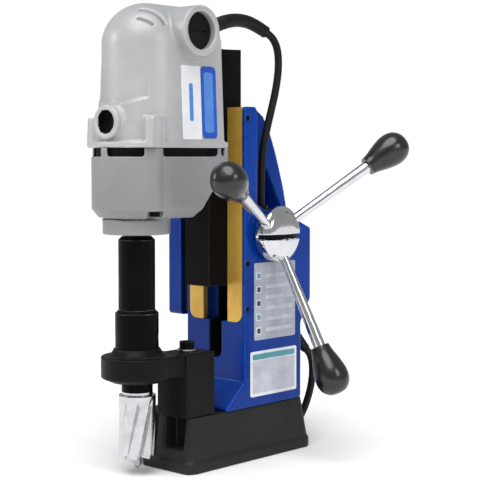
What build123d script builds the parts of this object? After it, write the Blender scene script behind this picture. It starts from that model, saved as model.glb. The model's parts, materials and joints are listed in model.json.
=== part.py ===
"""Magnetic drill press: magnet base, blue column housing, sliding drill head, feed hub and cords.

Frame: +Z up, origin at the centre of the magnet's bottom face. The spindle is at the front, -Y.
The feed hub is on the +X side and the switch box on the -X side. All sizes are in millimetres.
"""
import os
from math import asin, atan2, cos, degrees, hypot, pi, radians, sin, tan

from build123d import *

os.makedirs("parts", exist_ok=True)

# ---------------------------------------------------------------- driving dimensions
MAGNET_W, MAGNET_L, MAGNET_H = 82.0, 162.0, 47.0
MAGNET_INSET_X, MAGNET_INSET_Y = 6.0, 7.0       # taper of the sides, at the top
PLINTH_H = 9.0                                  # upright lower band of the magnet

HOUSING_HALF_W = 37.0
HOUSING_FRONT_Y = -8.0                          # face that the slide runs on
HOUSING_TOP_Z = 317.5
GUIDE_BOTTOM_Z = 124.0                          # lower end of the channel and of both gibs
SLOT_HALF_W, SLOT_BOTTOM_Z = 6.9, 89.5          # slot that the rack runs in
HANDLE_HALF_W = 12.0

SPINDLE_Y = -104.0
CASE_R = 42.0                                   # round front of the gear case, and its half width
CASE_CENTRE_Y = -99.0
CASE_REAR_Y = -34.0
CASE_BOTTOM_Z, PLATE_Z = 221.0, 272.4
SLOT_LOW_Z = 273.0                              # lower edge of the vent slots, open up to the joint line
NOSE_R, NOSE_BOTTOM_Z = 29.0, 207.0
MOTOR_R = 38.0                                  # round front and domed top of the motor housing
MOTOR_CENTRE_Y, MOTOR_REAR_Y = -93.0, -38.0
JOINT_Z, DOME_Z = 280.4, 366.0
SHELL = 4.0
BOSS_Z, BOSS_R = 302.0, 14.5                    # threaded boss on the motor's front
BRUSH_Y, BRUSH_Z, BRUSH_CAP_R = -74.0, 379.0, 16.0
BRUSH_RIM_X = 50.0                              # the screw caps sit 5 mm inside their bosses' rims

SLIDE_BOTTOM_Z, SLIDE_TOP_Z = 157.0, 369.0
SLIDE_NECK_HALF_W, SLIDE_FRONT_Y = 15.0, -31.0
DOVETAIL_LOW_Z = 178.0                          # the dovetail ends above the slide's lower end
CHANNEL_HALF_W, CHANNEL_BACK_Y, CHANNEL_CORNER_R = 33.0, 4.0, 8.0

RACK_MODULE = 1.5
FEED_TEETH = 18
FEED_Y, FEED_Z = 24.6, 203.3                    # axis of the feed pinion, along X
HUB_R = 25.0
KNOB_X, KNOB_REACH = 95.7, 121.0                # centre of a knob, out from the housing and the axis
FIRST_SPOKE_DEG = 36.8

GEAR_MODULE_HIGH, GEAR_MODULE_LOW = 1.25, 1.5
ARMATURE_Y = -76.0
ARMATURE_TEETH, LAYSHAFT_TEETH_HIGH = 8, 24
LAYSHAFT_TEETH_LOW, SPINDLE_TEETH = 9, 30

CUTTER_R, CUTTER_BORE_R = 16.0, 12.6
CUTTER_TIP_Z, CUTTER_TOP_Z = 15.0, 74.0
PIN_R, PIN_TIP_Z = 3.15, 4.5

CORD_R = 3.5
RUN_CLEARANCE = 0.06                            # radial clearance of a running shaft


# ---------------------------------------------------------------- helpers
def save(name, shape):
    """Write one node's STEP file."""
    export_step(shape, f"parts/{name}.step")


def slab_x(points_yz, x_low, x_high):
    """Prism along X from a profile of (y, z) points."""
    face = Plane.YZ.offset(x_low) * Polygon(*points_yz, align=None)
    return extrude(face, amount=x_high - x_low, dir=(1, 0, 0))


def slab_z(points_xy, z_low, z_high):
    """Prism along Z from a profile of (x, y) points."""
    face = Plane.XY.offset(z_low) * Polygon(*points_xy, align=None)
    return extrude(face, amount=z_high - z_low, dir=(0, 0, 1))


def block(x_low, x_high, y_low, y_high, z_low, z_high):
    """Box between two corners."""
    size = (x_high - x_low, y_high - y_low, z_high - z_low)
    return Pos(x_low, y_low, z_low) * Box(*size, align=(Align.MIN, Align.MIN, Align.MIN))


def rod(start, end, radius):
    """Round bar between two points."""
    direction = Vector(*end) - Vector(*start)
    return extrude(Plane(origin=start, z_dir=direction) * Circle(radius), amount=direction.length)


def ring(start, end, outer, inner):
    """Tube between two points."""
    direction = Vector(*end) - Vector(*start)
    section = Circle(outer) - Circle(inner)
    return extrude(Plane(origin=start, z_dir=direction) * section, amount=direction.length)


def taper(start, end, start_radius, end_radius):
    """Cone between two points."""
    direction = Vector(*end) - Vector(*start)
    cone = Cone(start_radius, end_radius, direction.length, align=(Align.CENTER, Align.CENTER, Align.MIN))
    return Plane(origin=start, z_dir=direction).location * cone


def hex_bar(start, end, across_flats):
    """Hexagonal bar between two points."""
    direction = Vector(*end) - Vector(*start)
    section = RegularPolygon(across_flats / 2, 6, major_radius=False)
    return extrude(Plane(origin=start, z_dir=direction) * section, amount=direction.length)


def gear_outline(module, teeth, phase_deg=0.0):
    """Spur gear section with straight-sided teeth, one of them centred on phase_deg."""
    pitch_r = module * teeth / 2
    tip_r, root_r = pitch_r + 0.85 * module, pitch_r - 1.15 * module
    pitch_angle = 2 * pi / teeth
    half_root, half_pitch, half_tip = 0.30 * pitch_angle, 0.215 * pitch_angle, 0.11 * pitch_angle
    points = []
    for tooth in range(teeth):
        centre = radians(phase_deg) + tooth * pitch_angle
        flanks = [(-half_root, root_r), (-half_pitch, pitch_r), (-half_tip, tip_r),
                  (half_tip, tip_r), (half_pitch, pitch_r), (half_root, root_r)]
        for offset, radius in flanks:
            points.append((radius * cos(centre + offset), radius * sin(centre + offset)))
    return Polygon(*points, align=None)


def stadium(radius, centre_y, rear_y, z_low, z_high):
    """Upright body with a half-round front and a square rear."""
    body = block(-radius, radius, centre_y, rear_y, z_low, z_high)
    return body + rod((0, centre_y, z_low), (0, centre_y, z_high), radius)


def one(shapes):
    """Group of separate solids in one node."""
    return Compound(children=list(shapes))


# ---------------------------------------------------------------- magnet base
def magnet():
    """Electromagnet: steel body, coil in a race-track groove, and the resin that seals it."""
    top_w, top_l = MAGNET_W - 2 * MAGNET_INSET_X, MAGNET_L - 2 * MAGNET_INSET_Y
    plinth = extrude(RectangleRounded(MAGNET_W, MAGNET_L, 9), amount=PLINTH_H)
    upper = loft([Plane.XY.offset(PLINTH_H) * RectangleRounded(MAGNET_W - 2.4, MAGNET_L - 3, 8),
                  Plane.XY.offset(MAGNET_H) * RectangleRounded(top_w, top_l, 6)])
    body = plinth + upper

    # Two pockets in the front, open at the top, either side of a middle rib.
    rib_half_w, pocket_edge, pocket_floor_z, pocket_back_y = 4.8, 29.5, 19.5, -62.0
    for side in (-1, 1):
        low, high = sorted((side * rib_half_w, side * pocket_edge))
        body -= block(low, high, -90, pocket_back_y, pocket_floor_z, MAGNET_H + 1)

    # Relief under the front corner on the switch side, for prying the magnet off.
    relief_leg, relief_h = 23.0, 6.0
    corner_x, corner_y = -MAGNET_W / 2 - 1, -MAGNET_L / 2 - 1
    body -= slab_z([(corner_x, corner_y), (corner_x + relief_leg + 2, corner_y),
                    (corner_x, corner_y + relief_leg + 2)], -1, relief_h)

    groove_out, groove_in = (54.0, 112.0), (26.0, 84.0)
    coil_low_z, coil_top_z, resin_low_z = 7.0, 30.0, 0.6
    track = RectangleRounded(*groove_out, 10) - RectangleRounded(*groove_in, 6)
    body -= Pos(0, 0, -1) * extrude(track, amount=coil_top_z + 1)
    save("magnet_base", body)

    inner_track = RectangleRounded(groove_out[0] - 1, groove_out[1] - 1, 9.5)
    inner_track -= RectangleRounded(groove_in[0] + 1, groove_in[1] + 1, 6.5)
    save("magnet_coil", Pos(0, 0, coil_low_z) * extrude(inner_track, amount=coil_top_z - coil_low_z - 0.5))
    save("magnet_resin", Pos(0, 0, resin_low_z) * extrude(track, amount=coil_low_z - resin_low_z))


# ---------------------------------------------------------------- column housing
REAR_UPPER_Y, REAR_LOWER_Y = 83.0, 69.0
SPINE_HALF_W, SPINE_REAR_Y = 24.0, 24.0
DECK_Z = 222.0                                  # floor of the hand-hole, behind the column
GIB_TOE_X, GIB_HEEL_X = 15.4, 21.2              # inner flank of a gib, front and rear

HANDLE_OUTER = [(20, HOUSING_TOP_Z), (33, HOUSING_TOP_Z), (44, 310), (52, 298), (60, 280), (67, 260),
                (73, 241), (77, 224), (80, 205)]
HANDLE_INNER = [(70, 205), (69, 225), (58, 246), (46, 266), (38, 270), (20, 270)]


def channel(front_y, top_z):
    """Block that fills the column's front channel; its lower corners are round."""
    half_w, corner = CHANNEL_HALF_W, CHANNEL_CORNER_R
    corner_z = GUIDE_BOTTOM_Z + corner
    shape = block(-half_w, half_w, front_y, CHANNEL_BACK_Y, corner_z, top_z)
    shape += block(corner - half_w, half_w - corner, front_y, CHANNEL_BACK_Y, GUIDE_BOTTOM_Z, corner_z)
    for x in (corner - half_w, half_w - corner):
        shape += rod((x, front_y, corner_z), (x, CHANNEL_BACK_Y, corner_z), corner)
    return shape


def housing():
    """One casting: column, lower block, sloped foot and the hollow-backed carrying handle."""
    side = [(HOUSING_FRONT_Y, MAGNET_H), (HOUSING_FRONT_Y, HOUSING_TOP_Z), (8, HOUSING_TOP_Z),
            (8, DECK_Z + 9), (SPINE_REAR_Y, DECK_Z), (64, 214), (REAR_UPPER_Y, 206),
            (REAR_UPPER_Y, 140), (REAR_LOWER_Y, 118), (REAR_LOWER_Y, MAGNET_H)]
    profile = Polygon(*side, align=None)
    profile = fillet(profile.vertices(), 2.5)
    start = Plane.YZ.offset(-HOUSING_HALF_W)
    body = extrude(start * profile, amount=2 * HOUSING_HALF_W, dir=(1, 0, 0))

    foot = [(0, 71), (HOUSING_FRONT_Y, 71), (-31, 50), (-31, MAGNET_H), (0, MAGNET_H)]
    body += slab_x(foot, -HOUSING_HALF_W, HOUSING_HALF_W)

    spine = [(0, DECK_Z - 20), (0, HOUSING_TOP_Z), (18, HOUSING_TOP_Z), (SPINE_REAR_Y, HOUSING_TOP_Z - 6),
             (SPINE_REAR_Y, DECK_Z - 20)]
    body += slab_x(spine, -SPINE_HALF_W, SPINE_HALF_W)

    # Handle with its inner side cored out, as a channel.
    body += slab_x(HANDLE_OUTER + HANDLE_INNER, -HANDLE_HALF_W, HANDLE_HALF_W)
    core_half_w = HANDLE_HALF_W - 4
    core = [(41, 290), (49, 278), (56, 262), (63, 246), (69, 233), (72, 222), (60, 222), (40, 262)]
    body -= slab_x(core, -core_half_w, core_half_w)

    # Channel for the gibs and the slide's dovetail, and the slot for the rack.
    body -= channel(HOUSING_FRONT_Y - 1, HOUSING_TOP_Z + 1)
    slot_front_y, slot_back_y, slot_r = HOUSING_FRONT_Y - 30, 14.0, SLOT_HALF_W
    round_z = SLOT_BOTTOM_Z + slot_r
    body -= block(-slot_r, slot_r, slot_front_y, slot_back_y, round_z, HOUSING_TOP_Z + 1)
    body -= rod((0, slot_front_y, round_z), (0, slot_back_y, round_z), slot_r)

    # Bore for the feed pinion, open into the slot, and the seats of its two bushes.
    body -= rod((-30, FEED_Y, FEED_Z), (HOUSING_HALF_W + 1, FEED_Y, FEED_Z), FEED_BORE_R)
    body -= block(-SLOT_HALF_W, SLOT_HALF_W, 0, FEED_Y, FEED_Z - 9, FEED_Z + 9)

    # Wiring bay behind the column, open towards the switch box.
    body -= block(-HOUSING_HALF_W - 1, 20, 32, REAR_LOWER_Y - 5, MAGNET_H + 6, 178)

    for z in GIB_SCREW_Z:
        body -= rod((CHANNEL_HALF_W - 1, GIB_SCREW_Y, z), (HOUSING_HALF_W + 1, GIB_SCREW_Y, z), GIB_SCREW_R)

    # Seats of the two cable entries.
    body -= rod((*ENTRY_XY, ENTRY_SEAT_Z), (*ENTRY_XY, ENTRY_SEAT_Z + 20), 6.5)
    body -= rod(*power_gland_ends(), POWER_GLAND_R)
    save("housing", body)


FEED_BORE_R = 15.5
GIB_SCREW_Y, GIB_SCREW_R = -3.5, 2.5
GIB_SCREW_Z = (136.0, 177.0, 307.0)


def gibs():
    """Brass gibs that hold the slide, and the set screws that adjust the one on the feed side."""
    flank = [(GIB_TOE_X, HOUSING_FRONT_Y), (CHANNEL_HALF_W, HOUSING_FRONT_Y),
             (CHANNEL_HALF_W, CHANNEL_BACK_Y), (GIB_HEEL_X, CHANNEL_BACK_Y)]
    for name, sign in (("left_gib", -1), ("right_gib", 1)):
        outline = [(sign * x, y) for x, y in flank]
        bar = slab_z(outline, GUIDE_BOTTOM_Z, HOUSING_TOP_Z - 0.5)
        save(name, bar & channel(HOUSING_FRONT_Y - 1, HOUSING_TOP_Z))

    screws = []
    for z in GIB_SCREW_Z:
        screw = rod((CHANNEL_HALF_W, GIB_SCREW_Y, z), (HOUSING_HALF_W - 0.8, GIB_SCREW_Y, z), GIB_SCREW_R)
        socket = hex_bar((HOUSING_HALF_W - 2.4, GIB_SCREW_Y, z), (HOUSING_HALF_W, GIB_SCREW_Y, z), 2.5)
        screws.append(screw - socket)
    save("gib_screws", one(screws))


# ---------------------------------------------------------------- arbor support
RING_R, RING_BORE_R = 31.0, 18.95
RING_LOW_Z, RING_TOP_Z = 84.0, 102.4
POST = (-4.0, 34.0, -77.0, -43.0)               # x and y limits of the bracket's post
POST_TOP_Z = 103.0
BRACKET_BOLT = (16.0, -60.0)
WASHER_TOP_Z = POST_TOP_Z + 2.0


def support():
    """Bracket on the magnet that steadies the arbor, with its bolt and washer."""
    x_low, x_high, y_low, y_high = POST
    post = block(x_low, x_high, y_low, y_high, MAGNET_H, POST_TOP_Z)
    top_edges = post.edges().filter_by(Axis.Y).group_by(Axis.Z)[-1]
    post = fillet(top_edges.sort_by(Axis.X)[0], 8)
    collar = rod((0, SPINDLE_Y, RING_LOW_Z), (0, SPINDLE_Y, RING_TOP_Z), RING_R)
    collar += taper((0, SPINDLE_Y, RING_LOW_Z - 4), (0, SPINDLE_Y, RING_LOW_Z), RING_R - 9, RING_R)
    arm = slab_z([(-24, -85), (-4, -70), (20, -70), (30, -77), (29, -96), (20, -104)], RING_LOW_Z, RING_TOP_Z)
    body = post + collar + arm
    body -= rod((0, SPINDLE_Y, RING_LOW_Z - 10), (0, SPINDLE_Y, RING_TOP_Z + 1), RING_BORE_R)
    bolt_x, bolt_y = BRACKET_BOLT
    body -= rod((bolt_x, bolt_y, MAGNET_H - 1), (bolt_x, bolt_y, POST_TOP_Z + 1), 4.5)
    save("support_bracket", body)

    save("bracket_washer", ring((bolt_x, bolt_y, POST_TOP_Z), (bolt_x, bolt_y, WASHER_TOP_Z), 8.5, 4.3))
    head_top = WASHER_TOP_Z + 6.5
    bolt = rod((bolt_x, bolt_y, MAGNET_H), (bolt_x, bolt_y, WASHER_TOP_Z), 4.0)
    bolt += rod((bolt_x, bolt_y, WASHER_TOP_Z), (bolt_x, bolt_y, head_top), 6.5)
    bolt -= hex_bar((bolt_x, bolt_y, head_top - 4), (bolt_x, bolt_y, head_top + 1), 6)
    save("bracket_bolt", bolt)


# ---------------------------------------------------------------- switch box
BOX_INNER_X, BOX_OUTER_X = -45.0, -61.0
BOX_Y, BOX_Z = (HOUSING_FRONT_Y, 58.0), (125.0, 238.0)
PANEL_T = 2.0
ROCKER_YZ = (25.0, 205.0)
START_YZ, STOP_YZ = (12.0, 158.0), (38.0, 158.0)
LAMP_YZ = (25.0, 180.0)
BUTTON_R, BUTTON_TRAVEL = 7.0, 2.0
ROCKER_HALF_Y, ROCKER_HALF_Z = 6.0, 9.5


def switch_box():
    """Box on the switch side: gasket, cover, screws, rocker, two push buttons and a lamp."""
    y0, y1 = BOX_Y
    z0, z1 = BOX_Z
    wall = 3.0
    gasket = block(BOX_INNER_X, -HOUSING_HALF_W, y0 + 4, y1 - 4, z0 + 4, z1 - 20)
    gasket -= block(BOX_INNER_X - 1, -HOUSING_HALF_W + 1, y0 + 12, y1 - 12, z0 + 12, z1 - 28)
    save("box_gasket", gasket)

    cover = block(BOX_OUTER_X, BOX_INNER_X, y0, y1, z0, z1)
    upright = cover.edges().filter_by(Axis.X)
    cover = fillet(upright, 4)
    cover -= block(BOX_OUTER_X + wall, BOX_INNER_X - 1.5, y0 + wall, y1 - wall, z0 + wall, z1 - wall)
    cover -= block(BOX_INNER_X - 2, BOX_INNER_X + 1, y0 + 12, y1 - 12, z0 + 12, z1 - 28)
    for y, z in (START_YZ, STOP_YZ):
        cover -= rod((BOX_OUTER_X - 1, y, z), (BOX_OUTER_X + wall + 1, y, z), BUTTON_R + 2)
    cover -= rod((BOX_OUTER_X - 1, *LAMP_YZ), (BOX_OUTER_X + wall + 1, *LAMP_YZ), 3.0)
    ry, rz = ROCKER_YZ
    cover -= block(BOX_OUTER_X - 1, BOX_OUTER_X + wall + 1, ry - ROCKER_HALF_Y - 2, ry + ROCKER_HALF_Y + 2,
                   rz - ROCKER_HALF_Z - 2, rz + ROCKER_HALF_Z + 2)
    save("switch_box", cover)

    screws = []
    for y in (y0 + 6, y1 - 6):
        for z in (z0 + 6, z1 - 6):
            screws.append(rod((BOX_OUTER_X - 1.6, y, z), (BOX_OUTER_X, y, z), 3.0))
    save("box_screws", one(screws))

    frame = block(BOX_OUTER_X - 1.5, BOX_OUTER_X + wall + 5, ry - ROCKER_HALF_Y - 2, ry + ROCKER_HALF_Y + 2,
                  rz - ROCKER_HALF_Z - 2, rz + ROCKER_HALF_Z + 2)
    frame -= block(BOX_OUTER_X - 2, BOX_OUTER_X + wall + 3.5, ry - ROCKER_HALF_Y - 0.3,
                   ry + ROCKER_HALF_Y + 0.3, rz - ROCKER_HALF_Z - 0.4, rz + ROCKER_HALF_Z + 0.4)
    save("rocker_frame", frame)

    # The rocker turns about Y through the panel's face; its two faces meet there.
    hz = ROCKER_HALF_Z
    face_x = BOX_OUTER_X
    tilt = 2.4
    paddle = [(face_x + 2, rz - hz), (face_x - 1.2 + tilt, rz - hz), (face_x - 1.2, rz),
              (face_x - 1.2 - tilt, rz + hz), (face_x + 2, rz + hz)]
    sketch = Plane(origin=(0, ry + ROCKER_HALF_Y, 0), x_dir=(1, 0, 0), z_dir=(0, -1, 0))
    rocker = extrude(sketch * Polygon(*paddle, align=None), amount=2 * ROCKER_HALF_Y, dir=(0, -1, 0))
    trim = rod((face_x, ry - 10, rz), (face_x, ry + 10, rz), hz - 0.1)
    save("magnet_rocker", rocker & trim)

    collars = []
    for y, z in (START_YZ, STOP_YZ):
        collar = ring((BOX_OUTER_X - 3, y, z), (BOX_OUTER_X, y, z), BUTTON_R + 4, BUTTON_R + 0.1)
        collar += ring((BOX_OUTER_X, y, z), (BOX_OUTER_X + 9, y, z), BUTTON_R + 2, BUTTON_R + 0.1)
        collars.append(collar)
    save("button_collars", one(collars))
    for name, (y, z), proud in (("start_button", START_YZ, 1.0), ("stop_button", STOP_YZ, 4.0)):
        save(name, rod((BOX_OUTER_X - 3 - proud, y, z), (BOX_OUTER_X + 6, y, z), BUTTON_R))
    ly, lz = LAMP_YZ
    lamp = rod((BOX_OUTER_X, ly, lz), (BOX_OUTER_X + 6, ly, lz), 3.0)
    lamp += taper((BOX_OUTER_X, ly, lz), (BOX_OUTER_X - 2.5, ly, lz), 4.2, 2.6)
    save("magnet_lamp", lamp)


# ---------------------------------------------------------------- labels
LABEL_T = 0.4
UPPER_LABEL = (4.0, 60.0, 107.0, 177.0)         # y and z limits
LOWER_LABEL = (-1.0, 62.0, 56.0, 97.0)
MOTOR_LABEL = (-89.0, -47.0, 287.5, 350.0)


def labels():
    """Plain foil plates on the feed side."""
    plates = []
    for (y0, y1, z0, z1), face_x in ((UPPER_LABEL, HOUSING_HALF_W), (LOWER_LABEL, HOUSING_HALF_W),
                                     (MOTOR_LABEL, MOTOR_R)):
        plates.append(block(face_x, face_x + LABEL_T, y0, y1, z0, z1))
    save("side_labels", one(plates[:2]))
    save("motor_label", plates[2])


# ---------------------------------------------------------------- slide and rack
def slide():
    """Dovetail slide and the rack screwed to its rear."""
    clear, neck_rear_y, rear_y = 0.15, HOUSING_FRONT_Y - 0.3, CHANNEL_BACK_Y - 0.1
    lean = (GIB_HEEL_X - GIB_TOE_X) / (CHANNEL_BACK_Y - HOUSING_FRONT_Y)
    start_y = HOUSING_FRONT_Y - (GIB_TOE_X - clear - SLIDE_NECK_HALF_W) / lean
    wide = SLIDE_NECK_HALF_W + lean * (rear_y - start_y)
    half = [(SLIDE_NECK_HALF_W, neck_rear_y - 1), (SLIDE_NECK_HALF_W, start_y), (wide, rear_y)]
    dovetail = slab_z(half + [(-x, y) for x, y in reversed(half)], DOVETAIL_LOW_Z, SLIDE_TOP_Z)
    half_w = SLIDE_NECK_HALF_W
    neck = block(-half_w, half_w, SLIDE_FRONT_Y, neck_rear_y, SLIDE_BOTTOM_Z, SLIDE_TOP_Z)
    save("slide", neck + dovetail)

    # Rack: tooth gaps are cut so that a pinion tooth at the axis height has a gap to turn in.
    pitch = pi * RACK_MODULE
    pitch_y = FEED_Y - RACK_MODULE * FEED_TEETH / 2
    tip_y, root_y = pitch_y + 0.85 * RACK_MODULE, pitch_y - 1.15 * RACK_MODULE
    low_z, high_z = SLIDE_BOTTOM_Z + 6, SLIDE_TOP_Z - 3
    points = [(rear_y, low_z), (root_y, low_z)]
    tooth = int((low_z - FEED_Z) / pitch) + 1
    while FEED_Z + (tooth + 0.5) * pitch < high_z - 3:
        centre = FEED_Z + (tooth + 0.5) * pitch
        points += [(root_y, centre - 0.30 * pitch), (tip_y, centre - 0.13 * pitch),
                   (tip_y, centre + 0.13 * pitch), (root_y, centre + 0.30 * pitch)]
        tooth += 1
    points += [(root_y, high_z), (rear_y, high_z)]
    save("rack", slab_x(points, -SLOT_HALF_W + 0.9, SLOT_HALF_W - 0.9))


# ---------------------------------------------------------------- gear case and motor housing
PILLARS = [(-33.5, -114.0), (33.5, -114.0), (-33.5, -44.0), (33.5, -44.0)]
PILLAR_R, PILLAR_TOP_Z = 8.5, 306.0


def gear_case():
    """Lower casting: a shell with vent slots in its rim, a spindle nose below and a pad on the slide."""
    body = stadium(CASE_R, CASE_CENTRE_Y, CASE_REAR_Y, CASE_BOTTOM_Z, JOINT_Z)
    under_rear = [(-72, CASE_BOTTOM_Z - 1), (-54, 242), (CASE_REAR_Y, 262), (0, 262), (0, CASE_BOTTOM_Z - 1)]
    body -= slab_x(under_rear, -CASE_R - 1, CASE_R + 1)
    body += rod((0, SPINDLE_Y, NOSE_BOTTOM_Z), (0, SPINDLE_Y, CASE_BOTTOM_Z + 1), NOSE_R)
    half_w = SLIDE_NECK_HALF_W
    body += block(-half_w, half_w, CASE_REAR_Y - 22, SLIDE_FRONT_Y, 240, PLATE_Z)
    floor_z = CASE_BOTTOM_Z + SHELL
    inside = stadium(CASE_R - SHELL, CASE_CENTRE_Y, CASE_REAR_Y - SHELL, floor_z, JOINT_Z + 1)
    inside_rear = [(-70 - SHELL, CASE_BOTTOM_Z), (-56 - SHELL, 246), (CASE_REAR_Y, 267), (0, 267),
                   (0, CASE_BOTTOM_Z)]
    body -= inside - slab_x(inside_rear, -CASE_R, CASE_R)
    body -= vent_slots()
    for x, y in PILLARS:
        low_z = CASE_BOTTOM_Z if y < CASE_CENTRE_Y else 266
        body += rod((x, y, low_z), (x, y, JOINT_Z), PILLAR_R - 1)
        if y < CASE_CENTRE_Y:
            outline = stadium(CASE_R, CASE_CENTRE_Y, CASE_REAR_Y, CASE_BOTTOM_Z, CASE_BOTTOM_Z + 10)
            body += outline & rod((x, y, CASE_BOTTOM_Z), (x, y, CASE_BOTTOM_Z + 10), 11)
            body -= rod((x, y, CASE_BOTTOM_Z - 1), (x, y, CASE_BOTTOM_Z + 6), 8.4)
            body -= rod((x, y, CASE_BOTTOM_Z), (x, y, CASE_BOTTOM_Z + 7), 5.6)
        body -= rod((x, y, CASE_BOTTOM_Z), (x, y, JOINT_Z + 1), 2.6)
    body -= rod((0, SPINDLE_Y, NOSE_BOTTOM_Z - 1), (0, SPINDLE_Y, CASE_BOTTOM_Z + 8), BEARING_R)
    lay = layshaft_centre()
    body += ring((*lay, floor_z - 1), (*lay, LAY_BEARING_Z[0] + LAY_BEARING_H), 10, LAY_BEARING_R)
    save("gear_case", body)

    # Plate between the castings, with seats for three bearings: spindle, layshaft and armature.
    plate_top = PLATE_Z + 3.6
    plate = stadium(34, CASE_CENTRE_Y, CASE_REAR_Y - 8, PLATE_Z, plate_top)
    for x, y in PILLARS:
        plate -= rod((x, y, PLATE_Z - 1), (x, y, plate_top + 1), 9.5)
    spindle_axis = (0, SPINDLE_Y)
    plate += rod((*spindle_axis, TOP_BEARING_Z[0]), (*spindle_axis, PLATE_Z), TOP_BEARING_R + 3)
    plate += rod((*lay, LAY_BEARING_Z[1]), (*lay, PLATE_Z), 10)
    plate += rod((0, ARMATURE_Y, PLATE_Z), (0, ARMATURE_Y, ARMATURE_BEARING_Z[1]), ARMATURE_BEARING_R + 3)
    seat_low, seat_top = TOP_BEARING_Z[0] - 1, TOP_BEARING_Z[1] + 0.6
    plate -= rod((*spindle_axis, seat_low), (*spindle_axis, seat_top), TOP_BEARING_R)
    plate -= rod((*lay, LAY_BEARING_Z[1] - 1), (*lay, PLATE_Z - 2), LAY_BEARING_R)
    low_z, high_z = ARMATURE_BEARING_Z
    plate -= rod((0, ARMATURE_Y, low_z), (0, ARMATURE_Y, high_z + 1), ARMATURE_BEARING_R)
    plate -= rod((0, ARMATURE_Y, PLATE_Z - 11), (0, ARMATURE_Y, high_z), 9)
    save("bearing_plate", plate)


def vent_slots():
    """Cutters for the rim: a short slot each side of the front rib, and a long one along each side."""
    def pie(from_deg, to_deg):
        """Sector of the round front, angles counted from straight ahead."""
        reach, steps = CASE_R + 6, 6
        angles = [radians(from_deg + (to_deg - from_deg) * step / steps) for step in range(steps + 1)]
        rim = [(reach * sin(angle), CASE_CENTRE_Y - reach * cos(angle)) for angle in angles]
        return slab_z([(0, CASE_CENTRE_Y)] + rim, SLOT_LOW_Z, JOINT_Z + 1)

    hub = rod((0, CASE_CENTRE_Y, SLOT_LOW_Z - 1), (0, CASE_CENTRE_Y, JOINT_Z + 2), CASE_R - SHELL - 1)
    cutters = pie(5, 52) + pie(72, 90) + pie(-52, -5) + pie(-90, -72) - hub
    inner = CASE_R - SHELL - 1
    for low, high in ((inner, CASE_R + 6), (-CASE_R - 6, -inner)):
        cutters += block(low, high, CASE_CENTRE_Y, MOTOR_REAR_Y, SLOT_LOW_Z, JOINT_Z + 1)
    return cutters


BEARING_R, TOP_BEARING_R, SPINDLE_R = 16.0, 14.0, 9.0
NOSE_BEARING_Z = (NOSE_BOTTOM_Z + 2, NOSE_BOTTOM_Z + 14)
TOP_BEARING_Z = (262.0, 271.0)
LAY_BEARING_R, LAY_BEARING_H, LAY_BEARING_Z = 7.5, 5.0, (228.0, 262.0)
ARMATURE_BEARING_R, ARMATURE_BEARING_Z = 13.0, (274.0, 281.0)


def layshaft_centre():
    """Where the layshaft stands so that both gear pairs mesh."""
    to_armature = GEAR_MODULE_HIGH * (ARMATURE_TEETH + LAYSHAFT_TEETH_HIGH) / 2
    to_spindle = GEAR_MODULE_LOW * (LAYSHAFT_TEETH_LOW + SPINDLE_TEETH) / 2
    gap = ARMATURE_Y - SPINDLE_Y
    along = (to_armature ** 2 - to_spindle ** 2 + gap ** 2) / (2 * gap)
    return (to_armature ** 2 - along ** 2) ** 0.5, ARMATURE_Y - along


def motor_shape(radius, rear_y, low_z):
    """Outside or inside of the motor housing: half-round front and a barrel top that ends in a dome."""
    shape = stadium(radius, MOTOR_CENTRE_Y, rear_y, low_z, DOME_Z)
    shape += rod((0, MOTOR_CENTRE_Y, DOME_Z), (0, rear_y, DOME_Z), radius)
    return shape + Pos(0, MOTOR_CENTRE_Y, DOME_Z) * Sphere(radius)


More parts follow.
